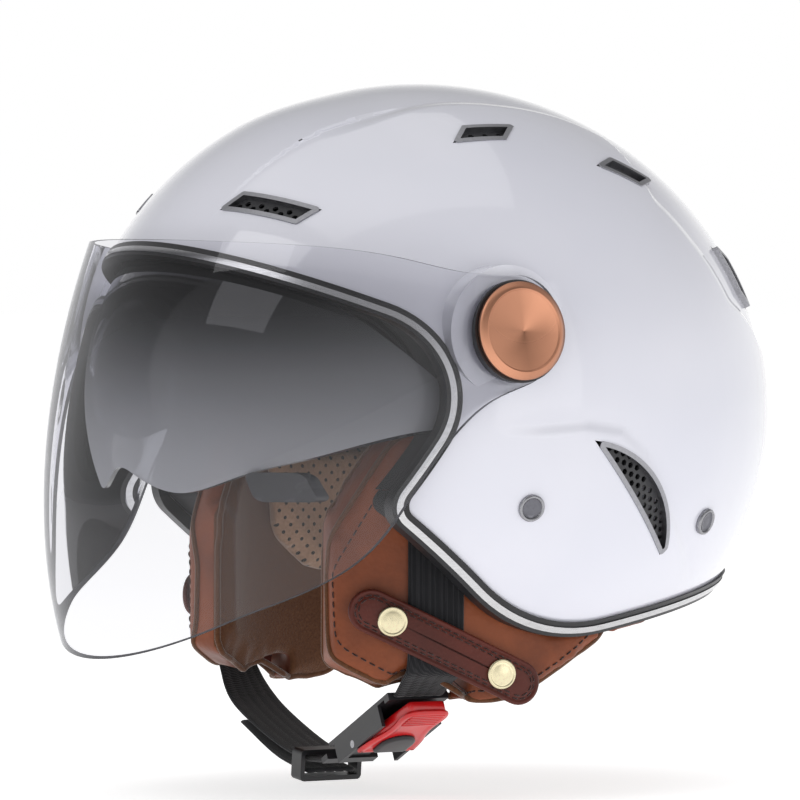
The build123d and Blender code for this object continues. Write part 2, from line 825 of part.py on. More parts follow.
with BuildPart() as leather_tab:
    add(prism(tab_plane, tab_outline.sketch, tab_width, tab_width))
    add(pad_band(tab_stand_off, tab_outer), mode=Mode.INTERSECT)
save_pair(leather_tab.part, "leather_tab")

with BuildPart() as snap_caps:
    add(prism(tab_plane, snap_outline.sketch, tab_width, tab_width))
    add(pad_band(tab_outer, tab_outer + snap_height), mode=Mode.INTERSECT)
save_pair(snap_caps.part, "snap_caps")

with BuildPart() as snap_studs:
    add(prism(tab_plane, stud_outline.sketch, tab_width, tab_width))
    add(pad_band(0, tab_stand_off - pad_joint_gap), mode=Mode.INTERSECT)
    mirror(about=Plane.YZ)
save(snap_studs.part, "snap_studs")

# ---- strap rivets through the shell ----
with BuildPart() as strap_rivets:
    for plane in rivet_planes:
        add(rod(plane, rivet_shank_radius, 0, rivet_length))
        add(rod(plane, rivet_radius, rivet_head, 0))
    mirror(about=Plane.YZ)
save(strap_rivets.part, "strap_rivets")

# ---- chin strap webbing: flat ribbons lofted from station to station ----
strap_face = pad_plane(strap_centre_y, strap_top_z, strap_stand_off + strap_thickness / 2)
strap_x = strap_face.origin.X
across_pad = strap_face.x_dir


def station(x, z, across, run):
    """Return one place on the webbing, where it runs along run and lies flat along across."""
    return Plane(origin=(x, strap_centre_y, z), x_dir=across, z_dir=run)


def ribbon(stations):
    """Return webbing that passes through a list of stations."""
    with BuildPart() as web:
        for pair in zip(stations, stations[1:]):
            for place in pair:
                with BuildSketch(place):
                    Rectangle(strap_width, strap_thickness)
            loft(ruled=True)
    return web.part


def chin_station(x, z, slope):
    """Return a station under the chin, where the webbing runs level across the wearer."""
    return station(x, z, (0, 1, 0), (cos(radians(slope)), 0, sin(radians(slope))))


frame_start = buckle_plate_start - buckle_bar
left_end = buckle_origin + buckle_along * (frame_start - pad_joint_gap)
left_turn = (-sin(radians((90 - buckle_slope) / 2)), 0, -cos(radians((90 - buckle_slope) / 2)))
strap_left = ribbon(
    [
        station(strap_x, strap_top_z, across_pad, (0, 0, -1)),
        station(strap_x, left_turn_z, across_pad, left_turn),
        station(left_end.X, left_end.Z, (0, 1, 0), tuple(buckle_along)),
    ]
)
save(strap_left, "strap_left")

tongue_mid = (tongue_low + tongue_high) / 2
right_end = buckle_origin + buckle_along * (tongue_end + pad_joint_gap) + buckle_out * tongue_mid
across_right = (-across_pad.X, across_pad.Y, 0)
right_turn = (sin(radians(right_turn_lean)), 0, -cos(radians(right_turn_lean)))
strap_right = ribbon(
    [
        station(-strap_x, strap_top_z, across_right, (0, 0, -1)),
        station(-strap_x, right_turn_z, across_right, right_turn),
        *[chin_station(x, z, slope) for x, z, slope in chin_run],
        chin_station(right_end.X, right_end.Z, buckle_slope),
    ]
)
save(strap_right, "strap_right")
save(ribbon([chin_station(x, z, slope) for x, z, slope in fold_run]), "strap_fold")

# ---- strap slider: a flat ring round the strap and its fold ----
slider_x, slider_top_z, slider_slope = chin_run[slider_at]
slider_low_z = fold_run[slider_at][1]
slider_plane = Plane(
    origin=(slider_x, strap_centre_y, (slider_top_z + slider_low_z) / 2),
    x_dir=(0, 1, 0),
    z_dir=(cos(radians(slider_slope)), 0, sin(radians(slider_slope))),
)
slot_height = slider_top_z - slider_low_z + strap_thickness + 2 * slider_play
slot_width = strap_width + 2 * slider_play
with BuildPart() as strap_slider:
    with BuildSketch(slider_plane):
        RectangleRounded(slot_width + 2 * slider_bar, slot_height + 2 * slider_bar, slider_bar)
        Rectangle(slot_width, slot_height, mode=Mode.SUBTRACT)
    extrude(amount=slider_length / 2, both=True)
save(strap_slider.part, "strap_slider")

# ---- buckle frame: plate, two side walls, and the bar that the left strap loops round ----
wall_middle = buckle_half_width - wall_thickness
with BuildPart() as buckle_frame:
    add(buckle_block(buckle_plate_start, buckle_plate_end, buckle_half_width, -buckle_plate, 0))
    add(buckle_block(wall_start, wall_end, buckle_half_width, 0, wall_height))
    add(buckle_block(wall_start, wall_end, wall_middle, 0, wall_height), mode=Mode.SUBTRACT)
    add(buckle_block(frame_start, buckle_plate_start, buckle_half_width, -buckle_plate, buckle_plate))
    add(cross_rod(lever_pin_along, lever_pin_out, lever_pin_radius, reach), mode=Mode.SUBTRACT)
save(buckle_frame.part, "buckle_frame")
save(cross_rod(lever_pin_along, lever_pin_out, lever_pin_radius, buckle_half_width), "lever_pin")

# ---- release lever with its ribbed grip, and the pad on it ----
rib_step = (lever_grip_end - lever_start) / lever_rib_count
with BuildPart() as buckle_lever:
    add(buckle_block(lever_start, lever_pin_along, lever_half_width, lever_low, lever_high))
    add(cross_rod(lever_pin_along, lever_pin_out, lever_boss_radius, lever_half_width))
    for i in range(lever_rib_count):
        rib_start = lever_start + (i + 0.5) * rib_step
        add(
            buckle_block(rib_start, rib_start + rib_step / 2, reach, lever_high - lever_rib, reach),
            mode=Mode.SUBTRACT,
        )
    add(
        buckle_block(
            lever_pin_along - 2 * lever_boss_radius,
            lever_pin_along + 2 * lever_boss_radius,
            lever_slot_half_width,
            0,
            reach,
        ),
        mode=Mode.SUBTRACT,
    )
    add(
        cross_rod(lever_pin_along, lever_pin_out, lever_pin_radius + lever_pin_play, reach),
        mode=Mode.SUBTRACT,
    )
save(buckle_lever.part, "buckle_lever")

with BuildPart() as lever_pad:
    with BuildSketch(buckle_plane.offset(lever_high)):
        with Locations((pad_disc_along, 0)):
            Circle(pad_disc_radius)
            Rectangle(
                2 * pad_disc_radius,
                2 * pad_disc_radius,
                align=(Align.MAX, Align.CENTER),
                mode=Mode.INTERSECT,
            )
    extrude(amount=pad_disc_height)
save(lever_pad.part, "lever_pad")

spring_inner_radius = lever_pin_radius + pad_joint_gap
with BuildPart() as lever_spring:
    add(cross_rod(lever_pin_along, lever_pin_out, spring_inner_radius + spring_wire, spring_half_length))
    add(
        cross_rod(lever_pin_along, lever_pin_out, spring_inner_radius, spring_half_length),
        mode=Mode.SUBTRACT,
    )
save(lever_spring.part, "lever_spring")

# ---- ratchet tongue: a toothed strip with a wide head that the right strap loops through ----
with BuildPart() as ratchet_tongue:
    add(buckle_block(tongue_start, tongue_end, tongue_half_width, tongue_low, tongue_high))
    for i in range(tongue_tooth_count):
        tooth_start = tongue_start + (i + 0.5) * tongue_tooth_pitch
        add(
            buckle_block(
                tooth_start,
                tooth_start + tongue_tooth_pitch / 2,
                tongue_half_width,
                tongue_high,
                tongue_high + tongue_tooth,
            )
        )
    add(
        buckle_block(
            tongue_end - tongue_head_length,
            tongue_end,
            tongue_head_half_width,
            tongue_low,
            tongue_high + tongue_tooth,
        )
    )
save(ratchet_tongue.part, "ratchet_tongue")
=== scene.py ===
"""Looks for the open face motorcycle helmet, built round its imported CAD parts.

Same frame as the CAD, in metres: origin at the middle of the face shield's pivot axis,
+Z up, -Y the way the wearer looks, +X the wearer's left.
"""

import math

import bmesh
import bpy
import numpy as np
from mathutils import Matrix, Vector
from mathutils.bvhtree import BVHTree


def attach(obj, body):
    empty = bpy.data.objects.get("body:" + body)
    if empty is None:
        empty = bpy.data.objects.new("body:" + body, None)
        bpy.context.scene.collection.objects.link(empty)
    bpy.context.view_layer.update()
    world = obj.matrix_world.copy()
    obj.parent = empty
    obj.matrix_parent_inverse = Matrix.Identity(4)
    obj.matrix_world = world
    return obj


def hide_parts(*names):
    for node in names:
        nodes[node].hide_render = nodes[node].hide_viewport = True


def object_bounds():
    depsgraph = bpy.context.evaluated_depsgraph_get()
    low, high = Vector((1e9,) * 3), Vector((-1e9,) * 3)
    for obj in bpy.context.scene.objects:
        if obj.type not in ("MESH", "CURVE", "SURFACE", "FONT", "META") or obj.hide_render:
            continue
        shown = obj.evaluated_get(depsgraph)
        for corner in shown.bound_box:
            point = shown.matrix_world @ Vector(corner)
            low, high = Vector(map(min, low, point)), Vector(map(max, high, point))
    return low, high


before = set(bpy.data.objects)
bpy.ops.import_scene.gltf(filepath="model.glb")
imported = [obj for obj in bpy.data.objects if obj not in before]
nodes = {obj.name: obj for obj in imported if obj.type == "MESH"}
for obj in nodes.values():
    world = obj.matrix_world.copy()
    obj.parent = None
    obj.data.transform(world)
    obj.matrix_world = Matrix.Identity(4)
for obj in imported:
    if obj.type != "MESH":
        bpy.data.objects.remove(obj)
cad_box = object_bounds()
sides = {"left": 1.0, "right": -1.0}


# ---- forms that several pieces lie on ----
class Form:
    """An ellipsoid turned about X."""

    def __init__(self, half, centre, turn):
        self.half = np.array(half)
        self.centre = np.array(centre)
        angle = math.radians(turn)
        self.turn = np.array(
            [
                [1, 0, 0],
                [0, math.cos(angle), -math.sin(angle)],
                [0, math.sin(angle), math.cos(angle)],
            ]
        )

    def local(self, p):
        return (p - self.centre) @ self.turn

    def world(self, q):
        return q @ self.turn.T + self.centre

    def normal(self, p):
        n = (self.local(p) / self.half**2) @ self.turn.T
        return n / np.linalg.norm(n, axis=-1, keepdims=True)

    def depth(self, p):
        """How far p lies outside the surface, nearly."""
        q = self.local(p)
        slope = np.linalg.norm(2 * q / self.half**2, axis=-1)
        return (((q / self.half) ** 2).sum(-1) - 1) / slope

    def inset(self, amount):
        form = Form(self.half - amount, self.centre, 0)
        form.turn = self.turn
        return form


shell_form = Form((0.123, 0.153, 0.137), (0, 0.029, -0.033), -3.6)
shell_wall = 0.0032
shield_form = Form((0.1233, 0.1186, 0.2126), (0, 0, 0), -21.7)
shield_wall = 0.0022
visor_form = Form((0.1035, 0.1035, 0.1035), (0, -0.014, -0.028), 0)
visor_wall = 0.0018
pad_centre_y = 0.029
pad_half = (0.089, 0.108)


def smooth(t):
    """Smooth step from 0 to 1."""
    t = np.clip(t, 0, 1)
    return t * t * (3 - 2 * t)


# ---- mesh helpers ----
def linked(name, data):
    """Put a new object in the scene."""
    obj = bpy.data.objects.new(name, data)
    bpy.context.scene.collection.objects.link(obj)
    return obj


def loose(name, verts, faces):
    """Make a mesh object that isn't a piece yet."""
    mesh = bpy.data.meshes.new(name)
    mesh.from_pydata([tuple(v) for v in verts], [], [tuple(f) for f in faces])
    return linked(name, mesh)


def dress(obj, body, materials, replaces=()):
    """Give an object its materials, shade it smooth and make it a piece on a CAD body."""
    obj.data.materials.clear()
    for material in materials:
        obj.data.materials.append(material)
    obj.data.shade_smooth()
    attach(obj, body)
    if replaces:
        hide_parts(*replaces)
    return obj


def piece(name, verts, faces, body, materials, replaces=(), slot=None):
    """Make a mesh piece that rides on a CAD body."""
    return dress(loose(name, verts, faces), body, materials, replaces)


def settled(obj):
    """Apply an object's modifiers to its mesh."""
    depsgraph = bpy.context.evaluated_depsgraph_get()
    mesh = bpy.data.meshes.new_from_object(obj.evaluated_get(depsgraph))
    obj.modifiers.clear()
    obj.data = mesh
    return obj


def sleeve(rows, count, closed=False):
    """Faces between rows of count points; the last row meets the first if closed."""
    faces = []
    for i in range(rows if closed else rows - 1):
        near, far = i * count, (i + 1) % rows * count
        for j in range(count):
            k = (j + 1) % count
            faces.append((near + j, near + k, far + k, far + j))
    return faces


def ends(rows, count):
    """Faces over the first and the last row of a sleeve."""
    last = (rows - 1) * count
    return [tuple(range(count - 1, -1, -1)), tuple(range(last, last + count))]


def turned_over(faces):
    """The same quads seen from the other side, each from its own first corner."""
    return [(a, d, c, b) for a, b, c, d in faces]


def carve(obj, cutters):
    """Cut closed meshes out of obj and remove them."""
    for cutter in cutters:
        cut = obj.modifiers.new("cut", "BOOLEAN")
        cut.operation = "DIFFERENCE"
        cut.solver = "MANIFOLD"
        cut.object = cutter
    settled(obj)
    for cutter in cutters:
        bpy.data.objects.remove(cutter)
    return obj


def ball(form, rings, segments, lift=None):
    """Vertices and faces of a form, with its poles to the front and back."""
    lat = np.linspace(0, math.pi, rings + 1)[1:-1]
    lon = np.linspace(0, 2 * math.pi, segments, endpoint=False)
    la, lo = np.meshgrid(lat, lon, indexing="ij")
    unit = np.stack([np.sin(la) * np.cos(lo), -np.cos(la), np.sin(la) * np.sin(lo)], -1)
    unit = np.vstack([unit.reshape(-1, 3), [[0, -1, 0], [0, 1, 0]]])
    p = form.world(unit * form.half)
    if lift is not None:
        p = p + form.normal(p) * lift(p)[:, None]
    faces = turned_over(sleeve(rings - 1, segments))
    front, back = len(p) - 2, len(p) - 1
    last = (rings - 2) * segments
    for j in range(segments):
        k = (j + 1) % segments
        faces.append((front, j, k))
        faces.append((back, last + k, last + j))
    return p, faces


def prism(low, high, inside_out=False):
    """Closed prism between two rings of points, turned inside out on request."""
    faces = ends(2, len(low)) + sleeve(2, len(low))
    return loose("cutter", low + high, [f[::-1] for f in faces] if inside_out else faces)


def signed_area(outline):
    """Area of an outline, negative if it runs clockwise."""
    return sum(a[0] * b[1] - b[0] * a[1] for a, b in zip(outline, outline[1:] + outline[:1])) / 2


def side_prism(outline):
    """Closed prism of a side-view outline, right through the helmet along X."""
    if signed_area(outline) < 0:
        outline = outline[::-1]
    low, high = ([(x, y, z) for y, z in outline] for x in (-0.3, 0.3))
    return prism(low, high)


def rounded(corners, steps=14):
    """Outline through (x, y, radius) corners; those with a radius are rounded in steps."""
    outline = []
    n = len(corners)
    for i, (x, y, radius) in enumerate(corners):
        here = Vector((x, y))
        if not radius:
            outline.append((x, y))
            continue
        back = (Vector(corners[i - 1][:2]) - here).normalized()
        on = (Vector(corners[(i + 1) % n][:2]) - here).normalized()
        half = back.angle(on) / 2
        reach = radius / math.tan(half)
        middle = here + (back + on).normalized() * (radius / math.sin(half))
        start = here + back * reach - middle
        end = here + on * reach - middle
        turn = math.atan2(start.x * end.y - start.y * end.x, start.dot(end))
        for s in range(steps + 1):
            angle = turn * s / steps
            c, v = math.cos(angle), math.sin(angle)
            outline.append((middle.x + start.x * c - start.y * v, middle.y + start.x * v + start.y * c))
    return outline


def polish(obj, surfaces, tolerance=0.0002):
    """Give faces that lie on a curved surface that surface's own normals; others stay flat.

    surfaces is a list of (distance function, normal function, sign). Faces on none of them
    take material 1 where there is one."""
    mesh = obj.data
    mesh.shade_smooth()
    co = np.empty(len(mesh.vertices) * 3)
    mesh.vertices.foreach_get("co", co)
    co = co.reshape(-1, 3)
    loop_vert = np.empty(len(mesh.loops), int)
    mesh.loops.foreach_get("vertex_index", loop_vert)
    total = np.empty(len(mesh.polygons), int)
    mesh.polygons.foreach_get("loop_total", total)
    face_normal = np.empty(len(mesh.polygons) * 3)
    mesh.polygons.foreach_get("normal", face_normal)
    face_normal = face_normal.reshape(-1, 3)
    loop_poly = np.repeat(np.arange(len(total)), total)
    normals = face_normal[loop_poly].copy()
    taken = np.zeros(len(total), bool)
    for distance, normal, sign in surfaces:
        far = np.abs(distance(co)) > tolerance
        n = normal(co) * sign
        aligned = (n[loop_vert] * face_normal[loop_poly]).sum(-1) > 0.5
        bad = np.bincount(loop_poly, weights=far[loop_vert] | ~aligned, minlength=len(total))
        on = (bad == 0) & ~taken
        taken |= on
        pick = on[loop_poly]
        normals[pick] = n[loop_vert[pick]]
    mesh.normals_split_custom_set(normals.tolist())
    if len(mesh.materials) > 1:
        mesh.polygons.foreach_set("material_index", (~taken).astype(np.int32))
    return obj


def turned(profile, place, segments):
    """Vertices and faces of a profile of (radius, height), turned about place's third axis."""
    around = [2 * math.pi * j / segments for j in range(segments)]
    verts = [place @ Vector((r * math.cos(a), r * math.sin(a), h)) for r, h in profile for a in around]
    return verts, sleeve(len(profile), segments) + ends(len(profile), segments)


def standing(base, out):
    """Matrix that puts the origin at base and the third axis along out."""
    return Matrix.Translation(base) @ out.to_track_quat("Z", "Y").to_matrix().to_4x4()


def tube(points, radius, ring=10, closed=False):
    """Vertices and faces of a round cord along points."""
    points = [Vector(p) for p in points]
    n = len(points)
    verts = []
    side = None
    for i, p in enumerate(points):
        ahead = points[(i + 1) % n] if closed or i < n - 1 else p
        behind = points[i - 1] if closed or i else p
        along = (ahead - behind).normalized()
        if side is None:
            side = along.orthogonal().normalized()
        side = (side - along * side.dot(along)).normalized()
        other = along.cross(side)
        for j in range(ring):
            a = 2 * math.pi * j / ring
            verts.append(p + side * math.cos(a) * radius + other * math.sin(a) * radius)
    return verts, sleeve(n, ring, closed) + ([] if closed else ends(n, ring))


def joined(parts):
    """One list of vertices and faces out of several."""
    verts, faces = [], []
    for v, f in parts:
        base = len(verts)
        verts += list(v)
        faces += [tuple(i + base for i in face) for face in f]
    return verts, faces


def resample(points, step):
    """Points evenly spaced along a line of points."""
    p = np.array([tuple(q) for q in points], float)
    length = np.concatenate([[0], np.cumsum(np.linalg.norm(np.diff(p, axis=0), axis=1))])
    count = max(2, int(round(length[-1] / step)) + 1)
    at = np.linspace(0, length[-1], count)
    return [Vector([np.interp(a, length, p[:, k]) for k in range(3)]) for a in at]


def curve_through(points, steps):
    """Smooth line through points, with steps spans between two of them."""
    p = [Vector(q) for q in points]
    p = [2 * p[0] - p[1]] + p + [2 * p[-1] - p[-2]]
    line = []
    for i in range(1, len(p) - 2):
        a, b, c, d = p[i - 1 : i + 3]
        for s in range(steps):
            t = s / steps
            bend = (2 * a - 5 * b + 4 * c - d) * t * t + (3 * b - a - 3 * c + d) * t**3
            line.append(0.5 * (2 * b + (c - a) * t + bend))
    line.append(p[-2])
    return line


# ---- materials ----
class Graph:
    """A node tree being built."""

    def __init__(self, tree):
        self.tree = tree

    def put(self, target, value):
        """Set an input, or link it where the value is an output."""
        if isinstance(value, bpy.types.NodeSocket):
            self.tree.links.new(value, target)
        else:
            target.default_value = value

    def add(self, kind, inputs=None, **settings):
        node = self.tree.nodes.new(kind)
        for key, value in settings.items():
            setattr(node, key, value)
        for key, value in (inputs or {}).items():
            self.put(node.inputs[key], value)
        return node

    def math(self, operation, *values):
        return self.add("ShaderNodeMath", dict(enumerate(values)), operation=operation).outputs[0]

    def ramp(self, value, start=0.0, stop=1.0, low=0.0, high=1.0, **settings):
        """Number running from low to high while value runs from start to stop."""
        inputs = {"Value": value, "From Min": start, "From Max": stop, "To Min": low, "To Max": high}
        return self.add("ShaderNodeMapRange", inputs, **settings).outputs["Result"]

    def blend(self, fac, low, high):
        """Colour running from low to high while fac runs from 0 to 1."""
        inputs = {"Factor": fac, "A": low, "B": high}
        return self.add("ShaderNodeMix", inputs, data_type="RGBA").outputs["Result"]


class Shader(Graph):
    """A material whose colour, roughness and bump come from nodes."""

    def __init__(self, name, colour, roughness, **sockets):
        self.material = bpy.data.materials.new(name)
        self.material.use_nodes = True
        super().__init__(self.material.node_tree)
        self.bsdf = self.tree.nodes["Principled BSDF"]
        self.put(self.bsdf.inputs["Base Color"], (*colour, 1))
        self.put(self.bsdf.inputs["Roughness"], roughness)
        for key, value in sockets.items():
            self.put(self.bsdf.inputs[key.replace("_", " ")], value)
        self.where = self.add("ShaderNodeTexCoord").outputs["Object"]

    def noise(self, scale, detail=3.0, stretch=None, roughness=0.5):
        where = self.where
        if stretch:
            where = self.add("ShaderNodeMapping", {"Scale": stretch, "Vector": where}).outputs[0]
        inputs = {"Scale": scale, "Detail": detail, "Roughness": roughness, "Vector": where}
        return self.add("ShaderNodeTexNoise", inputs).outputs[0]

    def cells(self, scale):
        inputs = {"Scale": scale, "Vector": self.where}
        return self.add("ShaderNodeTexVoronoi", inputs).outputs["Distance"]

    def waves(self, scale, axis):
        inputs = {"Scale": scale, "Vector": self.where}
        return self.add("ShaderNodeTexWave", inputs, bands_direction=axis).outputs["Fac"]

    def dots(self, pitch):
        """Distance from the nearest of a staggered grid of dots in the side view, in pitches."""
        parts = self.add("ShaderNodeSeparateXYZ", {0: self.where})
        rows = []
        for shift in (0.0, 0.5):
            spans = []
            for axis in ("Y", "Z"):
                place = self.math("ADD", self.math("MULTIPLY", parts.outputs[axis], 1 / pitch), shift)
                off = self.math("SUBTRACT", self.math("FRACT", place), 0.5)
                spans.append(self.math("MULTIPLY", off, off))
            rows.append(self.math("SQRT", self.math("ADD", *spans)))
        return self.math("MINIMUM", *rows)

    def tint(self, fac, other, low=0.0, high=1.0):
        """Mix the base colour towards another where fac runs from low to high."""
        socket = self.bsdf.inputs["Base Color"]
        base = socket.links[0].from_socket if socket.is_linked else socket.default_value[:]
        self.put(socket, self.blend(self.ramp(fac, low, high), base, (*other, 1)))

    def rough(self, fac, low, high):
        self.put(self.bsdf.inputs["Roughness"], self.ramp(fac, low=low, high=high))

    def bump(self, height, strength, distance):
        """Add relief to what is there already."""
        inputs = {"Strength": strength, "Distance": distance, "Height": height}
        socket = self.bsdf.inputs["Normal"]
        if socket.is_linked:
            inputs["Normal"] = socket.links[0].from_socket
        self.put(socket, self.add("ShaderNodeBump", inputs).outputs["Normal"])


def moulded(name, colour, roughness, grain=0.15):
    """Moulded plastic or rubber with a fine grain."""
    shader = Shader(name, colour, roughness)
    fine = shader.noise(2600, 2)
    broad = shader.noise(60, 3)
    shader.tint(broad, [min(1, c * 1.35 + 0.004) for c in colour], 0.45, 0.75)
    shader.rough(broad, roughness * 0.85, min(1, roughness * 1.25))
    shader.bump(fine, grain, 0.0001)
    return shader.material


def leather(name, dark, light, grain, sheen):
    """Leather: cells of grain, and soft mottling that also varies its roughness."""
    roughness = 0.42
    shader = Shader(name, light, roughness, Specular_IOR_Level=0.3, Sheen_Weight=sheen)
    mottle = shader.noise(22, 5, roughness=0.6)
    shader.tint(mottle, dark, 0.35, 0.75)
    pores = shader.cells(grain)
    fine = shader.noise(grain * 2.2, 3)
    shader.rough(mottle, roughness * 0.85, roughness * 1.2)
    shader.bump(pores, 0.35, 0.00025)
    shader.bump(fine, 0.2, 0.0001)
    return shader.material


def suede(name, dark, light, pitch=None):
    """Short-nap suede, punched with a grid of small holes where a pitch is given."""
    sheen = {"Sheen_Weight": 0.6, "Sheen_Roughness": 0.4}
    shader = Shader(name, light, 0.95, Specular_IOR_Level=0.15, **sheen)
    nap = shader.noise(900, 6, roughness=0.75)
    shader.tint(nap, dark, 0.35, 0.7)
    shader.tint(shader.noise(45, 4), [(a + b) / 2 for a, b in zip(dark, light)], 0.4, 0.8)
    if pitch:
        shader.tint(shader.math("LESS_THAN", shader.dots(pitch), 0.13), (0.02, 0.012, 0.008))
    shader.bump(nap, 0.7, 0.0004)
    return shader.material


def woven(name, colour, light, scale):
    """Webbing or cloth: two crossed sets of threads."""
    shader = Shader(name, colour, 0.85, Sheen_Weight=0.25, Specular_IOR_Level=0.25)
    weave = shader.math("MULTIPLY", shader.waves(scale, "Y"), shader.waves(scale * 0.8, "X"))
    fuzz = shader.noise(2200, 2)
    shader.tint(weave, light, 0.2, 1.0)
    shader.bump(weave, 0.6, 0.0004)
    shader.bump(fuzz, 0.25, 0.0001)
    return shader.material


def metal(name, colour, roughness, streak=None):
    """Worked metal with streaks or a fine grain."""
    shader = Shader(name, colour, roughness, Metallic=1.0)
    lines = shader.noise(240, 4, stretch=streak) if streak else shader.noise(900, 3)
    shader.rough(lines, roughness * 0.8, roughness * 1.3)
    shader.tint(lines, [c * 0.82 for c in colour], 0.4, 0.9)
    shader.bump(lines, 0.06, 0.0001)
    return shader.material


white = Shader("shell_gloss", (0.74, 0.745, 0.83), 0.16, Coat_Weight=1.0, Coat_Roughness=0.02)
white.tint(white.noise(9, 3), (0.79, 0.79, 0.865), 0.35, 0.7)
white.rough(white.noise(140, 3), 0.14, 0.2)
white.bump(white.noise(420, 2), 0.02, 0.0001)
shell_gloss = white.material
trim_rubber = moulded("trim_rubber", (0.011, 0.011, 0.013), 0.38)
trim_bright = metal("trim_bright", (0.62, 0.62, 0.63), 0.24, streak=(1, 1, 6))
black_plastic = moulded("black_plastic", (0.012, 0.012, 0.014), 0.36)
vent_black = moulded("vent_black", (0.03, 0.03, 0.033), 0.45)
vent_silver = metal("vent_silver", (0.36, 0.36, 0.385), 0.36)
steel = metal("rivet_metal", (0.34, 0.34, 0.36), 0.26)
foam = moulded("liner_foam", (0.018, 0.018, 0.02), 0.85, grain=0.6)
tan_leather = leather("tan_leather", (0.09, 0.021, 0.008), (0.27, 0.066, 0.019), 520, 0.04)
deep_leather = leather("dark_leather", (0.045, 0.009, 0.006), (0.115, 0.019, 0.010), 700, 0.02)
thread = woven("thread", (0.03, 0.008, 0.006), (0.06, 0.018, 0.012), 1500)
# darker copy of the rivet steel for the rivets' polished discs: a painted reflection
rivet_disc_painted_reflection = metal("rivet_disc_painted_reflection", (0.16, 0.16, 0.18), 0.16)
tan_suede = suede("tan_suede", (0.06, 0.024, 0.011), (0.17, 0.072, 0.034))
beige_lining = suede("beige_lining", (0.26, 0.15, 0.09), (0.47, 0.29, 0.19), 0.0062)
webbing = woven("webbing", (0.009, 0.009, 0.011), (0.03, 0.03, 0.034), 520)
snap_brass = metal("snap_brass", (0.78, 0.70, 0.47), 0.2)
liner_cloth = woven("liner_cloth", (0.03, 0.03, 0.032), (0.07, 0.07, 0.075), 420)

red = Shader("red_plastic", (0.62, 0.006, 0.008), 0.3, Coat_Weight=0.3)
red.tint(red.noise(40, 3), (0.42, 0.003, 0.005), 0.4, 0.75)
red.rough(red.noise(90, 3), 0.24, 0.38)
red.bump(red.noise(700, 2), 0.1, 0.0001)
red_plastic = red.material


def spun(name, colour, roughness):
    """Metal spun on a lathe about the pivot axis: fine rings, and a painted highlight fan."""
    shader = Shader(name, colour, roughness, Metallic=1.0, Anisotropic=0.85)
    spread = shader.add("ShaderNodeVectorMath", {0: shader.where}, operation="LENGTH")
    inputs = {"Scale": 9000, "Detail": 4, "W": spread.outputs["Value"]}
    rings = shader.add("ShaderNodeTexNoise", inputs, noise_dimensions="1D").outputs[0]
    shader.bump(rings, 0.12, 0.0001)
    shader.rough(rings, roughness * 0.8, roughness * 1.25)
    parts = shader.add("ShaderNodeSeparateXYZ", {0: shader.where}).outputs
    # painted highlight: a lighter fan by angle round the axis, where the spun rings would catch the
    # light
    angle = shader.math("ARCTAN2", parts["Z"], parts["Y"])
    painted_highlight_fan = shader.math("SINE", shader.math("MULTIPLY", angle, 2.0))
    shader.tint(painted_highlight_fan, [min(1, c * 1.5) for c in colour], -0.2, 1.4)
    tangent = shader.add("ShaderNodeTangent", direction_type="RADIAL", axis="X")
    shader.put(shader.bsdf.inputs["Tangent"], tangent.outputs[0])
    return shader.material


copper = spun("copper", (0.50, 0.235, 0.145), 0.3)


def lens(name, roughness, tint=None, fade=None):
    """A thin sheet that lets light straight through and reflects by angle.

    It has one tint, or fades between (height, tint, painted reflection) at its foot and at its top:
    the painted reflection is how much of it is a flat grey sheet standing in for a silvered reflection."""
    material = bpy.data.materials.new(name)
    material.use_nodes = True
    graph = Graph(material.node_tree)
    graph.tree.nodes.remove(graph.tree.nodes["Principled BSDF"])
    where = graph.add("ShaderNodeTexCoord").outputs["Object"]
    dust = graph.add("ShaderNodeTexNoise", {"Scale": 55, "Detail": 5, "Vector": where}).outputs[0]
    wave = graph.add("ShaderNodeBump", {"Strength": 0.03, "Distance": 0.0002, "Height": dust})
    surface = {
        "Color": (0.9, 0.9, 0.92, 1),
        "Roughness": graph.ramp(dust, low=roughness * 0.6, high=roughness * 1.6),
        "Normal": wave.outputs["Normal"],
    }
    shine = graph.add("ShaderNodeBsdfGlossy", surface).outputs[0]
    clear = graph.add("ShaderNodeBsdfTransparent")
    angle = graph.add("ShaderNodeFresnel", {"IOR": 1.5}).outputs[0]
    shown = graph.add("ShaderNodeMixShader", {0: angle, 1: clear.outputs[0], 2: shine})
    if tint:
        graph.put(clear.inputs["Color"], (*tint, 1))
    else:
        (foot, foot_tint, foot_painted_reflection), (top, top_tint, top_painted_reflection) = fade
        level = graph.add("ShaderNodeSeparateXYZ", {0: where}).outputs["Z"]
        height = graph.ramp(level, foot, top, interpolation_type="SMOOTHSTEP")
        graph.put(clear.inputs["Color"], graph.blend(height, (*foot_tint, 1), (*top_tint, 1)))
        # painted reflection: a flat grey sheet lit by the lamps, mixed in most towards the foot
        painted_reflection = graph.add("ShaderNodeBsdfDiffuse", {"Color": (0.60, 0.61, 0.65, 1)}).outputs[0]
        reflection_share = graph.ramp(height, low=foot_painted_reflection, high=top_painted_reflection)
        shown = graph.add("ShaderNodeMixShader", {0: reflection_share, 1: shown.outputs[0], 2: painted_reflection})
    graph.put(graph.tree.nodes["Material Output"].inputs["Surface"], shown.outputs[0])
    return material


clear_lens = lens("clear_lens", 0.02, tint=(0.88, 0.88, 0.90))
lens_edge = moulded("lens_edge", (0.22, 0.22, 0.24), 0.2)
# foot and top of the visor: height, tint, and share of flat grey painted reflection
visor_foot = (-0.062, (0.30, 0.31, 0.34), 0.66)
visor_top = (0.016, (0.05, 0.05, 0.055), 0.02)
smoked_lens = lens("smoked_lens", 0.03, fade=(visor_foot, visor_top))
smoked_edge = moulded("smoked_edge", (0.03, 0.03, 0.035), 0.25, 0.02)

# ---- outer shell: crown channel, cheek panel, rim and vent windows ----
channel_depth = 0.0016
brow_depth = 0.0011
panel_depth = 0.0015
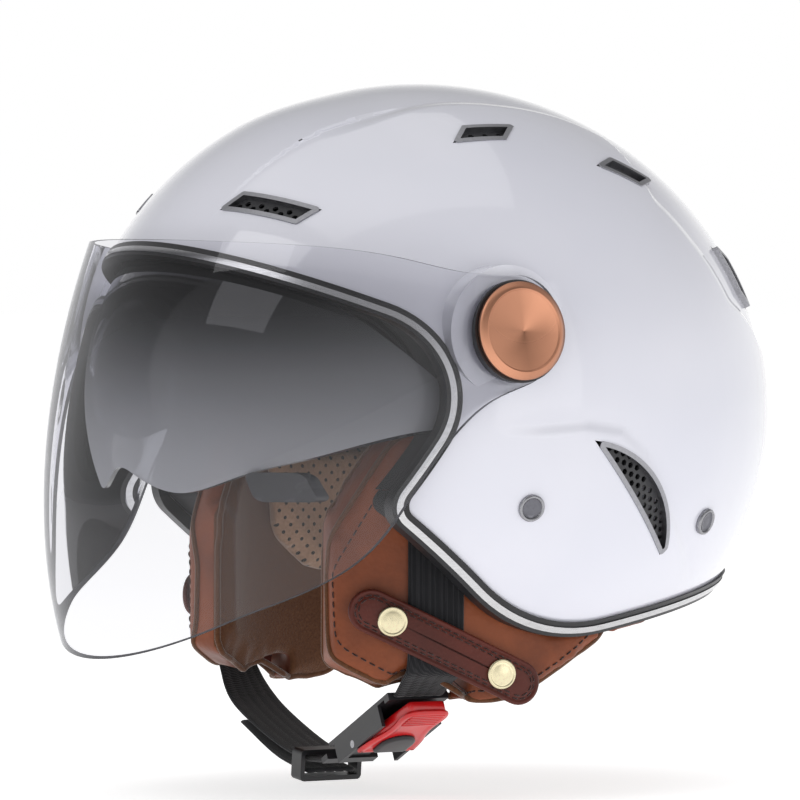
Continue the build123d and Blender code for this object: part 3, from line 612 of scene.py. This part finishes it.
# half width of the crown channel against the angle over the top, front to back
channel_angle = np.radians([-60, -17, -9, 4.5, 18, 27.6, 36.6, 49, 66, 76, 100])
channel_half = np.array([38, 45.6, 45.5, 47.6, 46.9, 49, 78, 82.2, 83.7, 68, 40]) * 0.001
fine_angle = np.radians(np.linspace(-60, 100, 641))
fine_half = np.interp(fine_angle, channel_angle, channel_half)
window = np.hanning(25)
fine_half = np.convolve(np.pad(fine_half, 12, mode="edge"), window / window.sum(), "valid")
# side view of the cheek panel's upper and rear edge
panel_edge_y = (-0.02, 0.012, 0.035, 0.052, 0.066, 0.079, 0.098, 0.115)
panel_edge_z = (-0.0405, -0.040, -0.0385, -0.041, -0.052, -0.070, -0.093, -0.118)
panel_edge = np.stack([panel_edge_y, panel_edge_z], -1)


def edge_distance(y, z):
    """Distance to the cheek panel's edge line, positive on the panel."""
    best = np.full(y.shape, 1e9)
    sign = np.ones(y.shape)
    for a, b in zip(panel_edge[:-1], panel_edge[1:]):
        d = b - a
        t = np.clip(((y - a[0]) * d[0] + (z - a[1]) * d[1]) / (d @ d), 0, 1)
        dy, dz = y - a[0] - t * d[0], z - a[1] - t * d[1]
        near = np.hypot(dy, dz)
        closer = near < best
        best = np.where(closer, near, best)
        sign = np.where(closer, np.where(d[0] * dz - d[1] * dy < 0, 1, -1), sign)
    return best * sign


def rise(angle, start, span):
    """Smooth step over span degrees from start."""
    return smooth((angle - math.radians(start)) / math.radians(span))


def shell_lift(p):
    """Height of the shell's soft shapes over its plain ellipsoid."""
    x, y, z = np.abs(p[:, 0]), p[:, 1], p[:, 2]
    angle = np.arctan2(y - shell_form.centre[1], z - shell_form.centre[2])
    half = np.interp(angle, fine_angle, fine_half)
    inside = smooth((half - x) / 0.0080 + 0.5)
    stretch = rise(angle, -34, 18) * (1 - rise(angle, 77, 3.5))
    upper = z > shell_form.centre[2] - 0.05
    channel = -channel_depth * inside * stretch * upper
    brow_fall = rise(angle, -62, 38) * (1 - smooth((x - 0.05) / 0.04))
    front = -brow_depth * (1 - rise(angle, -24, 9)) * brow_fall * (x > half * 0.9)
    s = edge_distance(y, z)
    outside = 1 - smooth(s / 0.006 + 0.5)
    fade = np.exp(np.minimum(s, 0) / 0.02)
    along = smooth((y + 0.01) / 0.03) * (1 - smooth((y - 0.088) / 0.025))
    panel = -panel_depth * outside * fade * along * smooth((x - 0.05) / 0.03)
    return channel + front + panel


def shell_normal(p):
    """Outward normals of the shell with its soft shapes."""
    n = shell_form.normal(p)
    step = 0.0004
    slope = np.stack(
        [(shell_lift(p + step * e) - shell_lift(p - step * e)) / (2 * step) for e in np.eye(3)], -1
    )
    slope -= n * (slope * n).sum(-1, keepdims=True)
    n = n - slope
    return n / np.linalg.norm(n, axis=-1, keepdims=True)


far = 0.24
# side view of all that lies in front of and below the rim
rim_outline = rounded(
    [
        (-0.006 - far, -0.0076 + 0.42 * far, 0),
        (-0.006, -0.0076, 0.038),
        (-0.0435, -0.071, 0.008),
        (0.024, -0.126, 0.080),
        (0.024 + far, -0.126 + 0.169 * far, 0),
        (0.024 + far, -0.25, 0),
        (-0.006 - far, -0.25, 0),
    ]
)


def touching(y, z, heading):
    """Place, and across, up and out directions, of a plane that touches the shell's left side."""
    flat = shell_form.local(np.array([0.0, y, z]))
    reach = 1 - (flat[1] / shell_form.half[1]) ** 2 - (flat[2] / shell_form.half[2]) ** 2
    origin = np.array([shell_form.half[0] * math.sqrt(reach), y, z])
    out = Vector(shell_form.normal(origin))
    across = Vector(heading)
    across = (across - out * across.dot(out)).normalized()
    return Vector(origin), across, out.cross(across), out


def blade(length, width, skew):
    """Outline of a slanted vent."""
    return [
        (-length / 2, -width / 2),
        (length / 2 - skew, -width / 2),
        (length / 2, width / 2),
        (-length / 2 + skew, width / 2),
    ]


def crescent(length, width, steps=18):
    """Outline of a half-moon vent with one blunt end: its straight side and an arc."""
    blunt = width * 0.3
    a = Vector((length / 2, blunt))
    b = Vector((length * 0.1, width))
    c = Vector((-length / 2, 0))
    d = 2 * (a.x * (b.y - c.y) + b.x * (c.y - a.y) + c.x * (a.y - b.y))
    aa, bb, cc = a.length_squared, b.length_squared, c.length_squared
    ux = (aa * (b.y - c.y) + bb * (c.y - a.y) + cc * (a.y - b.y)) / d
    uy = (aa * (c.x - b.x) + bb * (a.x - c.x) + cc * (b.x - a.x)) / d
    start = math.atan2(a.y - uy, a.x - ux)
    end = math.atan2(c.y - uy, c.x - ux)
    radius = math.hypot(a.x - ux, a.y - uy)
    arc = [start + (end - start) * i / steps for i in range(steps + 1)]
    return [(length / 2, 0)] + [(ux + radius * math.cos(t), uy + radius * math.sin(t)) for t in arc]


vents = {
    "vent_front": (-0.074, 0.050, (33, 20, -7), blade(0.0434, 0.0099, 0.007)),
    "vent_crown": (0.018, 0.0805, (0.5, 26, 1), blade(0.0334, 0.0099, 0.009)),
    "vent_upper_rear": (0.083, 0.065, (-1, 23, -9), blade(0.0334, 0.0104, 0.010)),
    "vent_rear": (0.141, 0.022, (2, 14, -26), blade(0.0334, 0.0094, 0.010)),
    "vent_side": (0.060, -0.069, (-14, 43, -48), crescent(0.0674, 0.0142)),
}
vent_reach = 0.014
inner_form = shell_form.inset(shell_wall)
cutters = [loose("cutter", *ball(inner_form, 120, 180)), side_prism(rim_outline)]
for y, z, heading, outline in vents.values():
    origin, across, up, out = touching(y, z, heading)
    for sign in sides.values():
        flip = Matrix.Diagonal((sign, 1, 1))
        face = [origin + across * u + up * v for u, v in outline]
        low, high = ([flip @ (p + out * d) for p in face] for d in (-vent_reach, vent_reach))
        cutters.append(prism(low, high, (signed_area(outline) < 0) != (sign < 0)))
shell = carve(loose("shell_skin", *ball(shell_form, 270, 640, shell_lift)), cutters)
dress(shell, "helmet", [shell_gloss, vent_black], ["outer_shell"])


def shell_distance(p):
    """How far p lies outside the shell with its soft shapes, nearly."""
    return shell_form.depth(p) - shell_lift(p)


outer_face = (shell_distance, shell_normal, 1)
inner_face = (inner_form.depth, inner_form.normal, -1)
polish(shell, [outer_face, inner_face], 0.0012)


# ---- lenses: the CAD mesh with the true normals of the form it lies on ----
def pane(node, body, materials, form, wall):
    """Stand a copy of a lens in for it: its outer face, with exact normals, and its cut edges.

    The inner face is left out, so that light crosses the thin wall once."""
    obj = linked(f"{node}_skin", nodes[node].data.copy())
    inner = form.inset(wall)
    mesh = bmesh.new()
    mesh.from_mesh(obj.data)
    doomed = []
    for face in mesh.faces:
        corners = np.array([v.co[:] for v in face.verts])
        facing = float(np.array(face.normal) @ inner.normal(corners.mean(0)))
        if np.abs(inner.depth(corners)).max() < 0.0002 and facing < -0.5:
            doomed.append(face)
    bmesh.ops.delete(mesh, geom=doomed, context="FACES")
    mesh.to_mesh(obj.data)
    mesh.free()
    dress(obj, body, materials, [node])
    return polish(obj, [(form.depth, form.normal, 1)])


glass = [clear_lens, lens_edge]
pane("face_shield", "face_shield_body", glass, shield_form, shield_wall)
glass = [smoked_lens, smoked_edge]
pane("sun_visor", "sun_visor_body", glass, visor_form, visor_wall)

# ---- CAD nodes that stay, with their finishes ----
finishes = {
    "rim_rubber": trim_rubber,
    "rim_strip": trim_bright,
    "impact_liner": foam,
    "cheek_foam_left": foam,
    "cheek_foam_right": foam,
    "lever_pin": steel,
    "lever_spring": steel,
    "sun_visor_pins": steel,
    "sun_visor_grip": smoked_edge,
    "snap_studs": steel,
    "strap_slider": black_plastic,
    "buckle_frame": black_plastic,
    "ratchet_tongue": black_plastic,
}
for side in sides:
    finishes[f"pivot_base_{side}"] = shell_gloss
    finishes[f"pivot_screw_{side}"] = steel
    finishes[f"pivot_cap_ring_{side}"] = black_plastic
    for name in vents:
        finishes[f"{name}_frame_{side}"] = vent_silver
        finishes[f"{name}_mesh_{side}"] = vent_black
for name, material in finishes.items():
    mesh = nodes[name].data
    mesh.materials.clear()
    mesh.materials.append(material)

for name in ("strap_slider", "buckle_frame", "ratchet_tongue"):
    soft_edge = nodes[name].modifiers.new("edges", "BEVEL")
    soft_edge.width = 0.0005
    soft_edge.segments = 2
    soft_edge.limit_method = "ANGLE"

# ---- pivot caps ----
cap_tilt = math.radians(6)
cap_gap, cap_ring_height, cap_ring_radius = 0.00035, 0.0006, 0.0206
cap_seat = shield_form.half[0] + cap_gap + cap_ring_height + cap_ring_radius * math.sin(cap_tilt)
cap_profile = [
    (0.0001, 0.0),
    (0.0190, 0.0),
    (0.0196, 0.0004),
    (0.0198, 0.0010),
    (0.0198, 0.0022),
    (0.0197, 0.0026),
    (0.0172, 0.0038),
    (0.0168, 0.0040),
    (0.0165, 0.0039),
    (0.0163, 0.0034),
    (0.0160, 0.0033),
    (0.0010, 0.0033),
    (0.0007, 0.0031),
    (0.0001, 0.0030),
]
for side, sign in sides.items():
    out = Vector((sign * math.cos(cap_tilt), 0, math.sin(cap_tilt)))
    place = standing(Vector((sign * cap_seat, 0, 0)), out)
    piece(
        f"cap_{side}",
        *turned(cap_profile, place, 160),
        "helmet",
        [copper],
        replaces=[f"pivot_cap_{side}"],
        slot="copper",
    )

# ---- soft pieces: stuffed copies of the CAD solids ----
cloth_frames = 20


def plump(node, voxel, rounding, pressure, reach):
    """Copy a CAD solid, remesh it evenly, round it and blow it up by no more than reach."""
    obj = linked(f"{node}_soft", nodes[node].data.copy())
    remesh = obj.modifiers.new("even", "REMESH")
    remesh.mode = "VOXEL"
    remesh.voxel_size = voxel
    relax = obj.modifiers.new("round", "SMOOTH")
    relax.factor = 0.5
    relax.iterations = rounding
    settled(obj)
    start = np.empty(len(obj.data.vertices) * 3)
    obj.data.vertices.foreach_get("co", start)
    start = start.reshape(-1, 3)
    cloth = obj.modifiers.new("cloth", "CLOTH")
    cloth.settings.use_pressure = True
    cloth.settings.uniform_pressure_force = pressure
    cloth.settings.effector_weights.gravity = 0
    scene = bpy.context.scene
    for step in range(1, cloth_frames + 1):
        scene.frame_set(step)
    blown = obj.evaluated_get(bpy.context.evaluated_depsgraph_get()).to_mesh()
    moved = np.empty(len(start) * 3)
    blown.vertices.foreach_get("co", moved)
    shift = moved.reshape(-1, 3) - start
    length = np.linalg.norm(shift, axis=1, keepdims=True)
    shift *= np.minimum(1, reach / np.maximum(length, 1e-9))
    scene.frame_set(1)
    obj.modifiers.clear()
    obj.data.vertices.foreach_set("co", (start + shift).ravel())
    obj.data.update()
    smoother = obj.modifiers.new("finer", "SUBSURF")
    smoother.levels = smoother.render_levels = 1
    return settled(obj)


def surface_of(obj):
    """Search tree over a finished piece."""
    mesh = obj.data
    return BVHTree.FromPolygons([v.co for v in mesh.vertices], [p.vertices for p in mesh.polygons])


def pad_point(y, z, out, sign):
    """Place on a cheek pad, out from its outer face."""
    half_x, half_y = pad_half[0] + out, pad_half[1] + out
    return Vector((sign * half_x * math.sqrt(max(0, 1 - ((y - pad_centre_y) / half_y) ** 2)), y, z))


def inset_outline(outline, amount):
    """Outline moved inwards by amount; outline runs round a convex shape."""
    turn = math.copysign(1, signed_area(outline))
    n = len(outline)
    moved = []
    for i in range(n):
        ahead = Vector(outline[(i + 1) % n]) - Vector(outline[i - 1])
        side = Vector((-ahead.y, ahead.x)).normalized() * turn
        moved.append(tuple(Vector(outline[i]) + side * amount))
    return moved


def stitches(points, tree, length, gap, radius, lift):
    """Short rounded threads laid along a line on a surface."""
    spacing = 0.0004
    line = resample(points, spacing)
    step = max(1, int(round((length + gap) / spacing)))
    run = max(1, int(round(length / spacing)))
    parts = []
    for start in range(0, len(line) - run, step):
        laid = []
        for k in range(5):
            where, normal, _, _ = tree.find_nearest(line[start + run * k // 4])
            laid.append(where + normal * lift * math.sin(math.pi * k / 4))
        parts.append(tube(laid, radius, 6))
    return joined(parts)


pad_outline = rounded(
    [
        (-0.027, -0.041, 0.012),
        (-0.056, -0.098, 0.014),
        (-0.054, -0.130, 0.018),
        (-0.018, -0.152, 0.016),
        (0.022, -0.151, 0.012),
        (0.070, -0.124, 0.010),
        (0.070, -0.041, 0.008),
    ],
    8,
)
piping_radius = 0.0013
piping_lines = (-0.001, -0.0182)  # near a cheek pad's outer and inner face
for side, sign in sides.items():
    pad = plump(f"cheek_pad_{side}", 0.0028, 3, 4.0, 0.0016)
    dress(pad, "helmet", [tan_leather, tan_suede], [f"cheek_pad_{side}"])
    for face in pad.data.polygons:
        face.material_index = int(face.normal.x * sign < -0.45)
    tree = surface_of(pad)
    parts = []
    for out in piping_lines:
        edge = [pad_point(y, z, out, sign) for y, z in pad_outline + pad_outline[:1]]
        loop = resample(edge, 0.0022)[:-1]
        laid = [tree.find_nearest(p)[0] for p in loop]
        after = laid[1:] + laid[:1]
        laid = [(laid[i - 1] + p * 2 + after[i]) / 4 for i, p in enumerate(laid)]
        parts.append(tube(laid, piping_radius, 10, closed=True))
    piece(f"pad_piping_{side}", *joined(parts), "helmet", [tan_suede], slot="tan_leather")
    seam = inset_outline(pad_outline, 0.0052)
    seam = [pad_point(y, z, 0.001, sign) for y, z in seam + seam[:1]]
    piece(
        f"pad_stitches_{side}",
        *stitches(seam, tree, 0.0026, 0.0014, 0.00032, 0.0003),
        "helmet",
        [thread],
        slot="tan_leather",
    )
    lining = plump(f"cheek_inner_{side}", 0.0026, 4, 4.0, 0.0016)
    dress(lining, "helmet", [beige_lining], [f"cheek_inner_{side}"])

roll = plump("neck_roll", 0.0032, 5, 4.0, 0.002)
dress(roll, "helmet", [tan_leather], ["neck_roll"])
crown_lining = plump("comfort_liner", 0.004, 3, 3.0, 0.001)
dress(crown_lining, "helmet", [liner_cloth], ["comfort_liner"])

# ---- leather tabs with their stitching and snaps ----
tab_length, tab_width, tab_thickness = 0.086, 0.018, 0.0024
tab_y, tab_z, tab_slope, tab_stand_off = -0.011, -0.128, math.radians(26), 0.0048
snap_spacing = 0.050


def tab_place(u, v, out, sign):
    """Place on a tab: u along it, v across it, out from the cheek pad's face."""
    half_x, half_y = pad_half[0] + out, pad_half[1] + out
    foot = pad_point(tab_y, tab_z, tab_stand_off, 1)
    normal = Vector((foot.x / pad_half[0] ** 2, (tab_y - pad_centre_y) / pad_half[1] ** 2, 0))
    normal.normalize()
    level = Vector((-normal.y, normal.x, 0))
    along = level * math.cos(tab_slope) - Vector((0, 0, math.sin(tab_slope)))
    p = foot + along * u + normal.cross(along) * v
    for _ in range(6):
        miss = (p.x / half_x) ** 2 + ((p.y - pad_centre_y) / half_y) ** 2 - 1
        slope = 2 * (p.x * normal.x / half_x**2 + (p.y - pad_centre_y) * normal.y / half_y**2)
        p = p - normal * (miss / slope)
    return Vector((sign * p.x, p.y, p.z))


def slot_outline(length, width, steps=16):
    """Outline with two half-round ends."""
    r = width / 2
    straight = length / 2 - r
    outline = []
    for way in (1, -1):
        for a in np.linspace(-math.pi / 2, math.pi / 2, steps):
            outline.append((way * (straight + r * math.cos(a)), way * r * math.sin(a)))
        outline += [(way * straight * (1 - 2 * t), way * r) for t in np.linspace(0, 1, 24)[1:-1]]
    return outline


def slab(outline_at, rings, place, mirrored=False):
    """Closed rounded slab: rings are (inset, height) pairs from its lower to its upper face."""
    verts = [place(u, v, height) for inset, height in rings for u, v in outline_at(inset)]
    count = len(outline_at(0))
    faces = sleeve(len(rings), count) + ends(len(rings), count)
    return verts, [f[::-1] for f in faces] if mirrored else faces


def tab_outline(inset):
    """Outline of a tab, moved inwards."""
    return slot_outline(tab_length - 2 * inset, tab_width - 2 * inset)


tab_top = tab_stand_off + tab_thickness
tab_rings = [
    (0.0086, tab_stand_off),
    (0.0010, tab_stand_off),
    (0.0003, tab_stand_off + 0.0003),
    (0.0, tab_stand_off + 0.0009),
    (0.0, tab_top - 0.0010),
    (0.0003, tab_top - 0.0004),
    (0.0010, tab_top - 0.0001),
    (0.0014, tab_top - 0.0003),
    (0.0019, tab_top - 0.0007),
    (0.0024, tab_top - 0.0007),
    (0.0030, tab_top - 0.0002),
    (0.0045, tab_top),
    (0.0065, tab_top + 0.0002),
    (0.0086, tab_top + 0.0002),
]
snap_profile = [
    (0.0058, 0.0),
    (0.0062, 0.0003),
    (0.0062, 0.0009),
    (0.0060, 0.0014),
    (0.0055, 0.0017),
    (0.0052, 0.0017),
    (0.0050, 0.0015),
    (0.0047, 0.0014),
    (0.0038, 0.0017),
    (0.0020, 0.0019),
    (0.0002, 0.0020),
]
nudge = 0.001
for side, sign in sides.items():
    body = f"tab_{side}_body"
    tab = piece(
        f"tab_{side}",
        *slab(tab_outline, tab_rings, lambda u, v, out: tab_place(u, v, out, sign), sign < 0),
        body,
        [deep_leather],
        replaces=[f"leather_tab_{side}"],
        slot="dark_leather",
    )
    tree = surface_of(tab)
    parts = []
    for inset in (0.0022, 0.0038):
        row = [tab_place(u, v, tab_top, sign) for u, v in tab_outline(inset)]
        parts.append(stitches(row + row[:1], tree, 0.0024, 0.0011, 0.00028, 0.00022))
    piece(f"tab_stitches_{side}", *joined(parts), body, [thread], slot="dark_leather")
    caps = []
    for u in (-snap_spacing / 2, snap_spacing / 2):
        base = tab_place(u, 0, tab_top, sign)
        ahead = tab_place(u + nudge, 0, tab_top, sign) - base
        up = tab_place(u, nudge, tab_top, sign) - base
        out = (ahead.cross(up) * sign).normalized()
        caps.append(turned(snap_profile, standing(base, out), 64))
    caps = joined(caps)
    piece(f"snaps_{side}", *caps, body, [snap_brass], [f"snap_caps_{side}"], "snap_metal")

# ---- strap rivets: a bright rim round a polished disc, painted darker as a painted reflection ----
rivet_profile = [
    (0.0056, -0.0010),
    (0.0056, 0.0009),
    (0.0053, 0.0014),
    (0.0049, 0.0016),
    (0.0045, 0.0015),
    (0.0042, 0.0010),
    (0.0041, 0.0008),
    (0.0020, 0.0009),
    (0.0001, 0.0010),
]
rivet_segments = 64
rim_rows = 5
for i, (y, z) in enumerate(((0.011, -0.071), (0.106, -0.079))):
    origin, _, _, normal = touching(y, z, (0, 1, 0))
    for side, sign in sides.items():
        out = Vector((normal.x * sign, normal.y, normal.z))
        place = standing(Vector((origin.x * sign, origin.y, origin.z)), out)
        rivet = piece(
            f"rivet_{side}_{i + 1}",
            *turned(rivet_profile, place, rivet_segments),
            "helmet",
            [steel, rivet_disc_painted_reflection],
            replaces=["strap_rivets"],
            slot="rivet_metal",
        )
        # the inner disc takes the darker steel: a painted reflection
        for face in rivet.data.polygons:
            face.material_index = int(face.index >= rim_rows * rivet_segments)

# ---- release lever: a waisted plate over a block between the buckle's walls, and its pad ----
buckle_slope = math.radians(26)
buckle_origin = Vector((0.052, -0.014, -0.157))
buckle_along = Vector((-math.cos(buckle_slope), 0, -math.sin(buckle_slope)))
buckle_out = Vector((math.sin(buckle_slope), 0, -math.cos(buckle_slope)))


def buckle_place(along, across, out):
    """Place on the buckle: along its run, across it and out from its plate."""
    return buckle_origin + buckle_along * along + Vector((0, across, 0)) + buckle_out * out


def closed_outline(half):
    """Outline from points of its upper half, mirrored about the buckle's middle."""
    return half + [(a, -b) for a, b in reversed(half)]


def shrunk(outline):
    """Function giving the outline moved inwards."""
    return lambda inset: inset_outline(outline, inset) if inset else outline


lever_half = curve_through(
    [
        (-0.0268, 0.0030, 0),
        (-0.0262, 0.0072, 0),
        (-0.0238, 0.0098, 0),
        (-0.0190, 0.0106, 0),
        (-0.0110, 0.0098, 0),
        (-0.0040, 0.0103, 0),
        (0.0040, 0.0124, 0),
        (0.0110, 0.0133, 0),
        (0.0143, 0.0133, 0),
        (0.0149, 0.0120, 0),
        (0.0150, 0.0060, 0),
        (0.0150, 0.0010, 0),
    ],
    6,
)
lever_outline = closed_outline([(p.x, p.y) for p in lever_half])
plate_rings = [
    (0.0012, 0.0092),
    (0.0003, 0.0092),
    (0.0, 0.0095),
    (0.0, 0.0100),
    (0.0003, 0.0106),
    (0.0010, 0.0109),
    (0.0022, 0.0109),
    (0.0028, 0.0106),
    (0.0034, 0.0105),
]
block_outline = rounded(
    [
        (-0.0255, -0.0085, 0.002),
        (0.0138, -0.0112, 0.001),
        (0.0138, 0.0112, 0.001),
        (-0.0255, 0.0085, 0.002),
    ],
    5,
)
block_rings = [(0.0006, 0.0047), (0.0, 0.0052), (0.0, 0.0094)]
parts = [
    slab(shrunk(lever_outline), plate_rings, buckle_place),
    slab(shrunk(block_outline), block_rings, buckle_place),
]
bar_rings = [(0.0, 0.0103), (0.0, 0.0110), (0.0002, 0.0112)]
for row in range(6):
    start = -0.0246 + 0.0019 * row
    stop = start + 0.0011
    corners = [(start, -0.0078), (stop, -0.0078), (stop, 0.0078), (start, 0.0078)]
    bar = rounded([(*corner, 0.0004) for corner in corners], 3)
    parts.append(slab(shrunk(bar), bar_rings, buckle_place))
pin_rows = [buckle_place(0.016, across, 0.0062) for across in np.linspace(-0.0112, 0.0112, 9)]
parts.append(tube(pin_rows, 0.0024, 24))
lever = joined(parts)
piece("release_lever_top", *lever, "release_lever", [red_plastic], ["buckle_lever"], "red_plastic")
disc = [(0.0128, 0.0001), (0.0128, 0.0062), (0.0122, 0.0073), (0.0110, 0.0078)]
for a in np.linspace(math.pi / 2, 0.98 * math.pi, 18):
    disc.append((0.005 + 0.0078 * math.cos(a), 0.0078 * math.sin(a)))
thumb_outline = closed_outline(disc)
thumb_rings = [(0.0, 0.0100), (0.0, 0.0113), (0.0003, 0.0118), (0.0010, 0.0121), (0.0020, 0.0122)]
piece(
    "release_lever_thumb",
    *slab(shrunk(thumb_outline), thumb_rings, buckle_place),
    "release_lever",
    [black_plastic],
    replaces=["lever_pad"],
    slot="black_plastic",
)

# ---- webbing ----
strap_y, strap_half, strap_thick = -0.014, 0.0115, 0.0018
rib_count, rib_height = 5, 0.00022


def ribbon(stations):
    """Ribbed webbing along stations of (x, z, across direction), its edges rounded."""
    centres = curve_through([(x, strap_y, z) for x, z, _ in stations], 14)
    turns = curve_through([across for _, _, across in stations], 14)
    half = strap_thick / 2
    profile = []
    columns = 8 * rib_count
    for j in range(columns + 1):
        t = j / columns
        ridge = rib_height * abs(math.sin(math.pi * rib_count * t)) - rib_height
        edge = half * (1 - max(0, abs(2 * t - 1) - 0.94) / 0.06 * 0.6)
        profile.append(((2 * t - 1) * strap_half, edge + ridge))
    profile += [(a, -b) for a, b in reversed(profile)]
    verts = []
    for i, centre in enumerate(centres):
        run = (centres[min(i + 1, len(centres) - 1)] - centres[max(i - 1, 0)]).normalized()
        across = turns[i] - run * turns[i].dot(run)
        across.normalize()
        out = across.cross(run)
        verts += [centre + across * a + out * b for a, b in profile]
    rows, count = len(centres), len(profile)
    faces = turned_over(sleeve(rows, count)) + [f[::-1] for f in ends(rows, count)]
    return verts, faces


pad_turn = Vector((0.312, 0.95, 0))
far_turn = Vector((-0.312, 0.95, 0))
level_turn = Vector((0, 1, 0))
runs = {
    "strap_left": [
        (0.0843, -0.084, pad_turn),
        (0.0843, -0.112, pad_turn),
        (0.0840, -0.130, pad_turn),
        (0.0825, -0.1375, pad_turn),
        (0.0774, -0.1420, pad_turn.lerp(level_turn, 0.5)),
        (0.0702, -0.1481, level_turn),
    ],
    "strap_right": [
        (-0.0843, -0.084, far_turn),
        (-0.0843, -0.115, far_turn),
        (-0.0840, -0.138, far_turn),
        (-0.0815, -0.1465, far_turn),
        (-0.0660, -0.160, level_turn),
        (-0.030, -0.1735, level_turn),
        (-0.006, -0.1785, level_turn),
        (0.004, -0.1788, level_turn),
        (0.0109, -0.1783, level_turn),
    ],
    "strap_fold": [
        (-0.060, -0.167, level_turn),
        (-0.030, -0.1786, level_turn),
        (-0.003, -0.1839, level_turn),
    ],
}
for name, stations in runs.items():
    piece(f"{name}_web", *ribbon(stations), "helmet", [webbing], replaces=[name], slot="webbing")

# ---- stage ----
back = Vector((0.8658, -0.4999, 0.0209)).normalized()
target = Vector((0.0083, 0.0131, -0.0297))
camera_data = bpy.data.cameras.new("camera")
camera_data.lens = 269.8
camera_data.sensor_width = 36
camera_data.clip_end = 100
camera = linked("camera", camera_data)
camera.location = target + back * 2.5
camera.rotation_euler = back.to_track_quat("Z", "Y").to_euler()
bpy.context.scene.camera = camera

glow = {"Emission_Color": (1, 1, 1, 1), "Emission_Strength": 0.62}
floor_shader = Shader("paper", (0.93, 0.93, 0.93), 0.9, **glow)
floor_shader.tint(floor_shader.noise(3, 2), (0.91, 0.91, 0.91), 0.3, 0.7)
floor_z = cad_box[0].z - 0.004
floor_radius = 30.0
floor_ring = []
for a in np.linspace(0, 2 * math.pi, 64, endpoint=False):
    floor_ring.append((floor_radius * math.cos(a), floor_radius * math.sin(a), floor_z))
floor = loose("floor", floor_ring, [tuple(range(64))])
floor.data.materials.append(floor_shader.material)


def softbox(name, place, size, power):
    """White rectangular light aimed at the helmet."""
    light = bpy.data.lights.new(name, "AREA")
    light.shape = "RECTANGLE"
    light.size, light.size_y = size
    light.energy = power
    lamp = linked(name, light)
    lamp.location = place
    lamp.rotation_euler = (place - target).to_track_quat("Z", "Y").to_euler()


right = back.cross(Vector((0, 0, 1))) * -1
key_place = target + back * 0.9 + right * -1.1 + Vector((0, 0, 1.3))
fill_place = target + back * 1.2 + right * 1.5 + Vector((0, 0, 0.4))
softbox("key", key_place, (1.0, 1.0), 5.2)
softbox("top", target + Vector((0, 0, 1.7)), (1.6, 1.6), 4.6)
softbox("fill", fill_place, (0.8, 1.6), 2.5)

world = bpy.data.worlds.new("studio")
bpy.context.scene.world = world
world.use_nodes = True
sky = Graph(world.node_tree)
background = sky.tree.nodes["Background"]
direction = sky.add("ShaderNodeTexCoord").outputs["Generated"]
steepness = sky.math("ABSOLUTE", sky.add("ShaderNodeSeparateXYZ", {0: direction}).outputs["Z"])
brightness = sky.ramp(steepness, 0.1, 0.5, 1.0, 0.37, interpolation_type="SMOOTHSTEP")
sky.put(background.inputs["Color"], (1, 1, 1, 1))
sky.put(background.inputs["Strength"], brightness)
bpy.context.scene.view_settings.view_transform = "Standard"
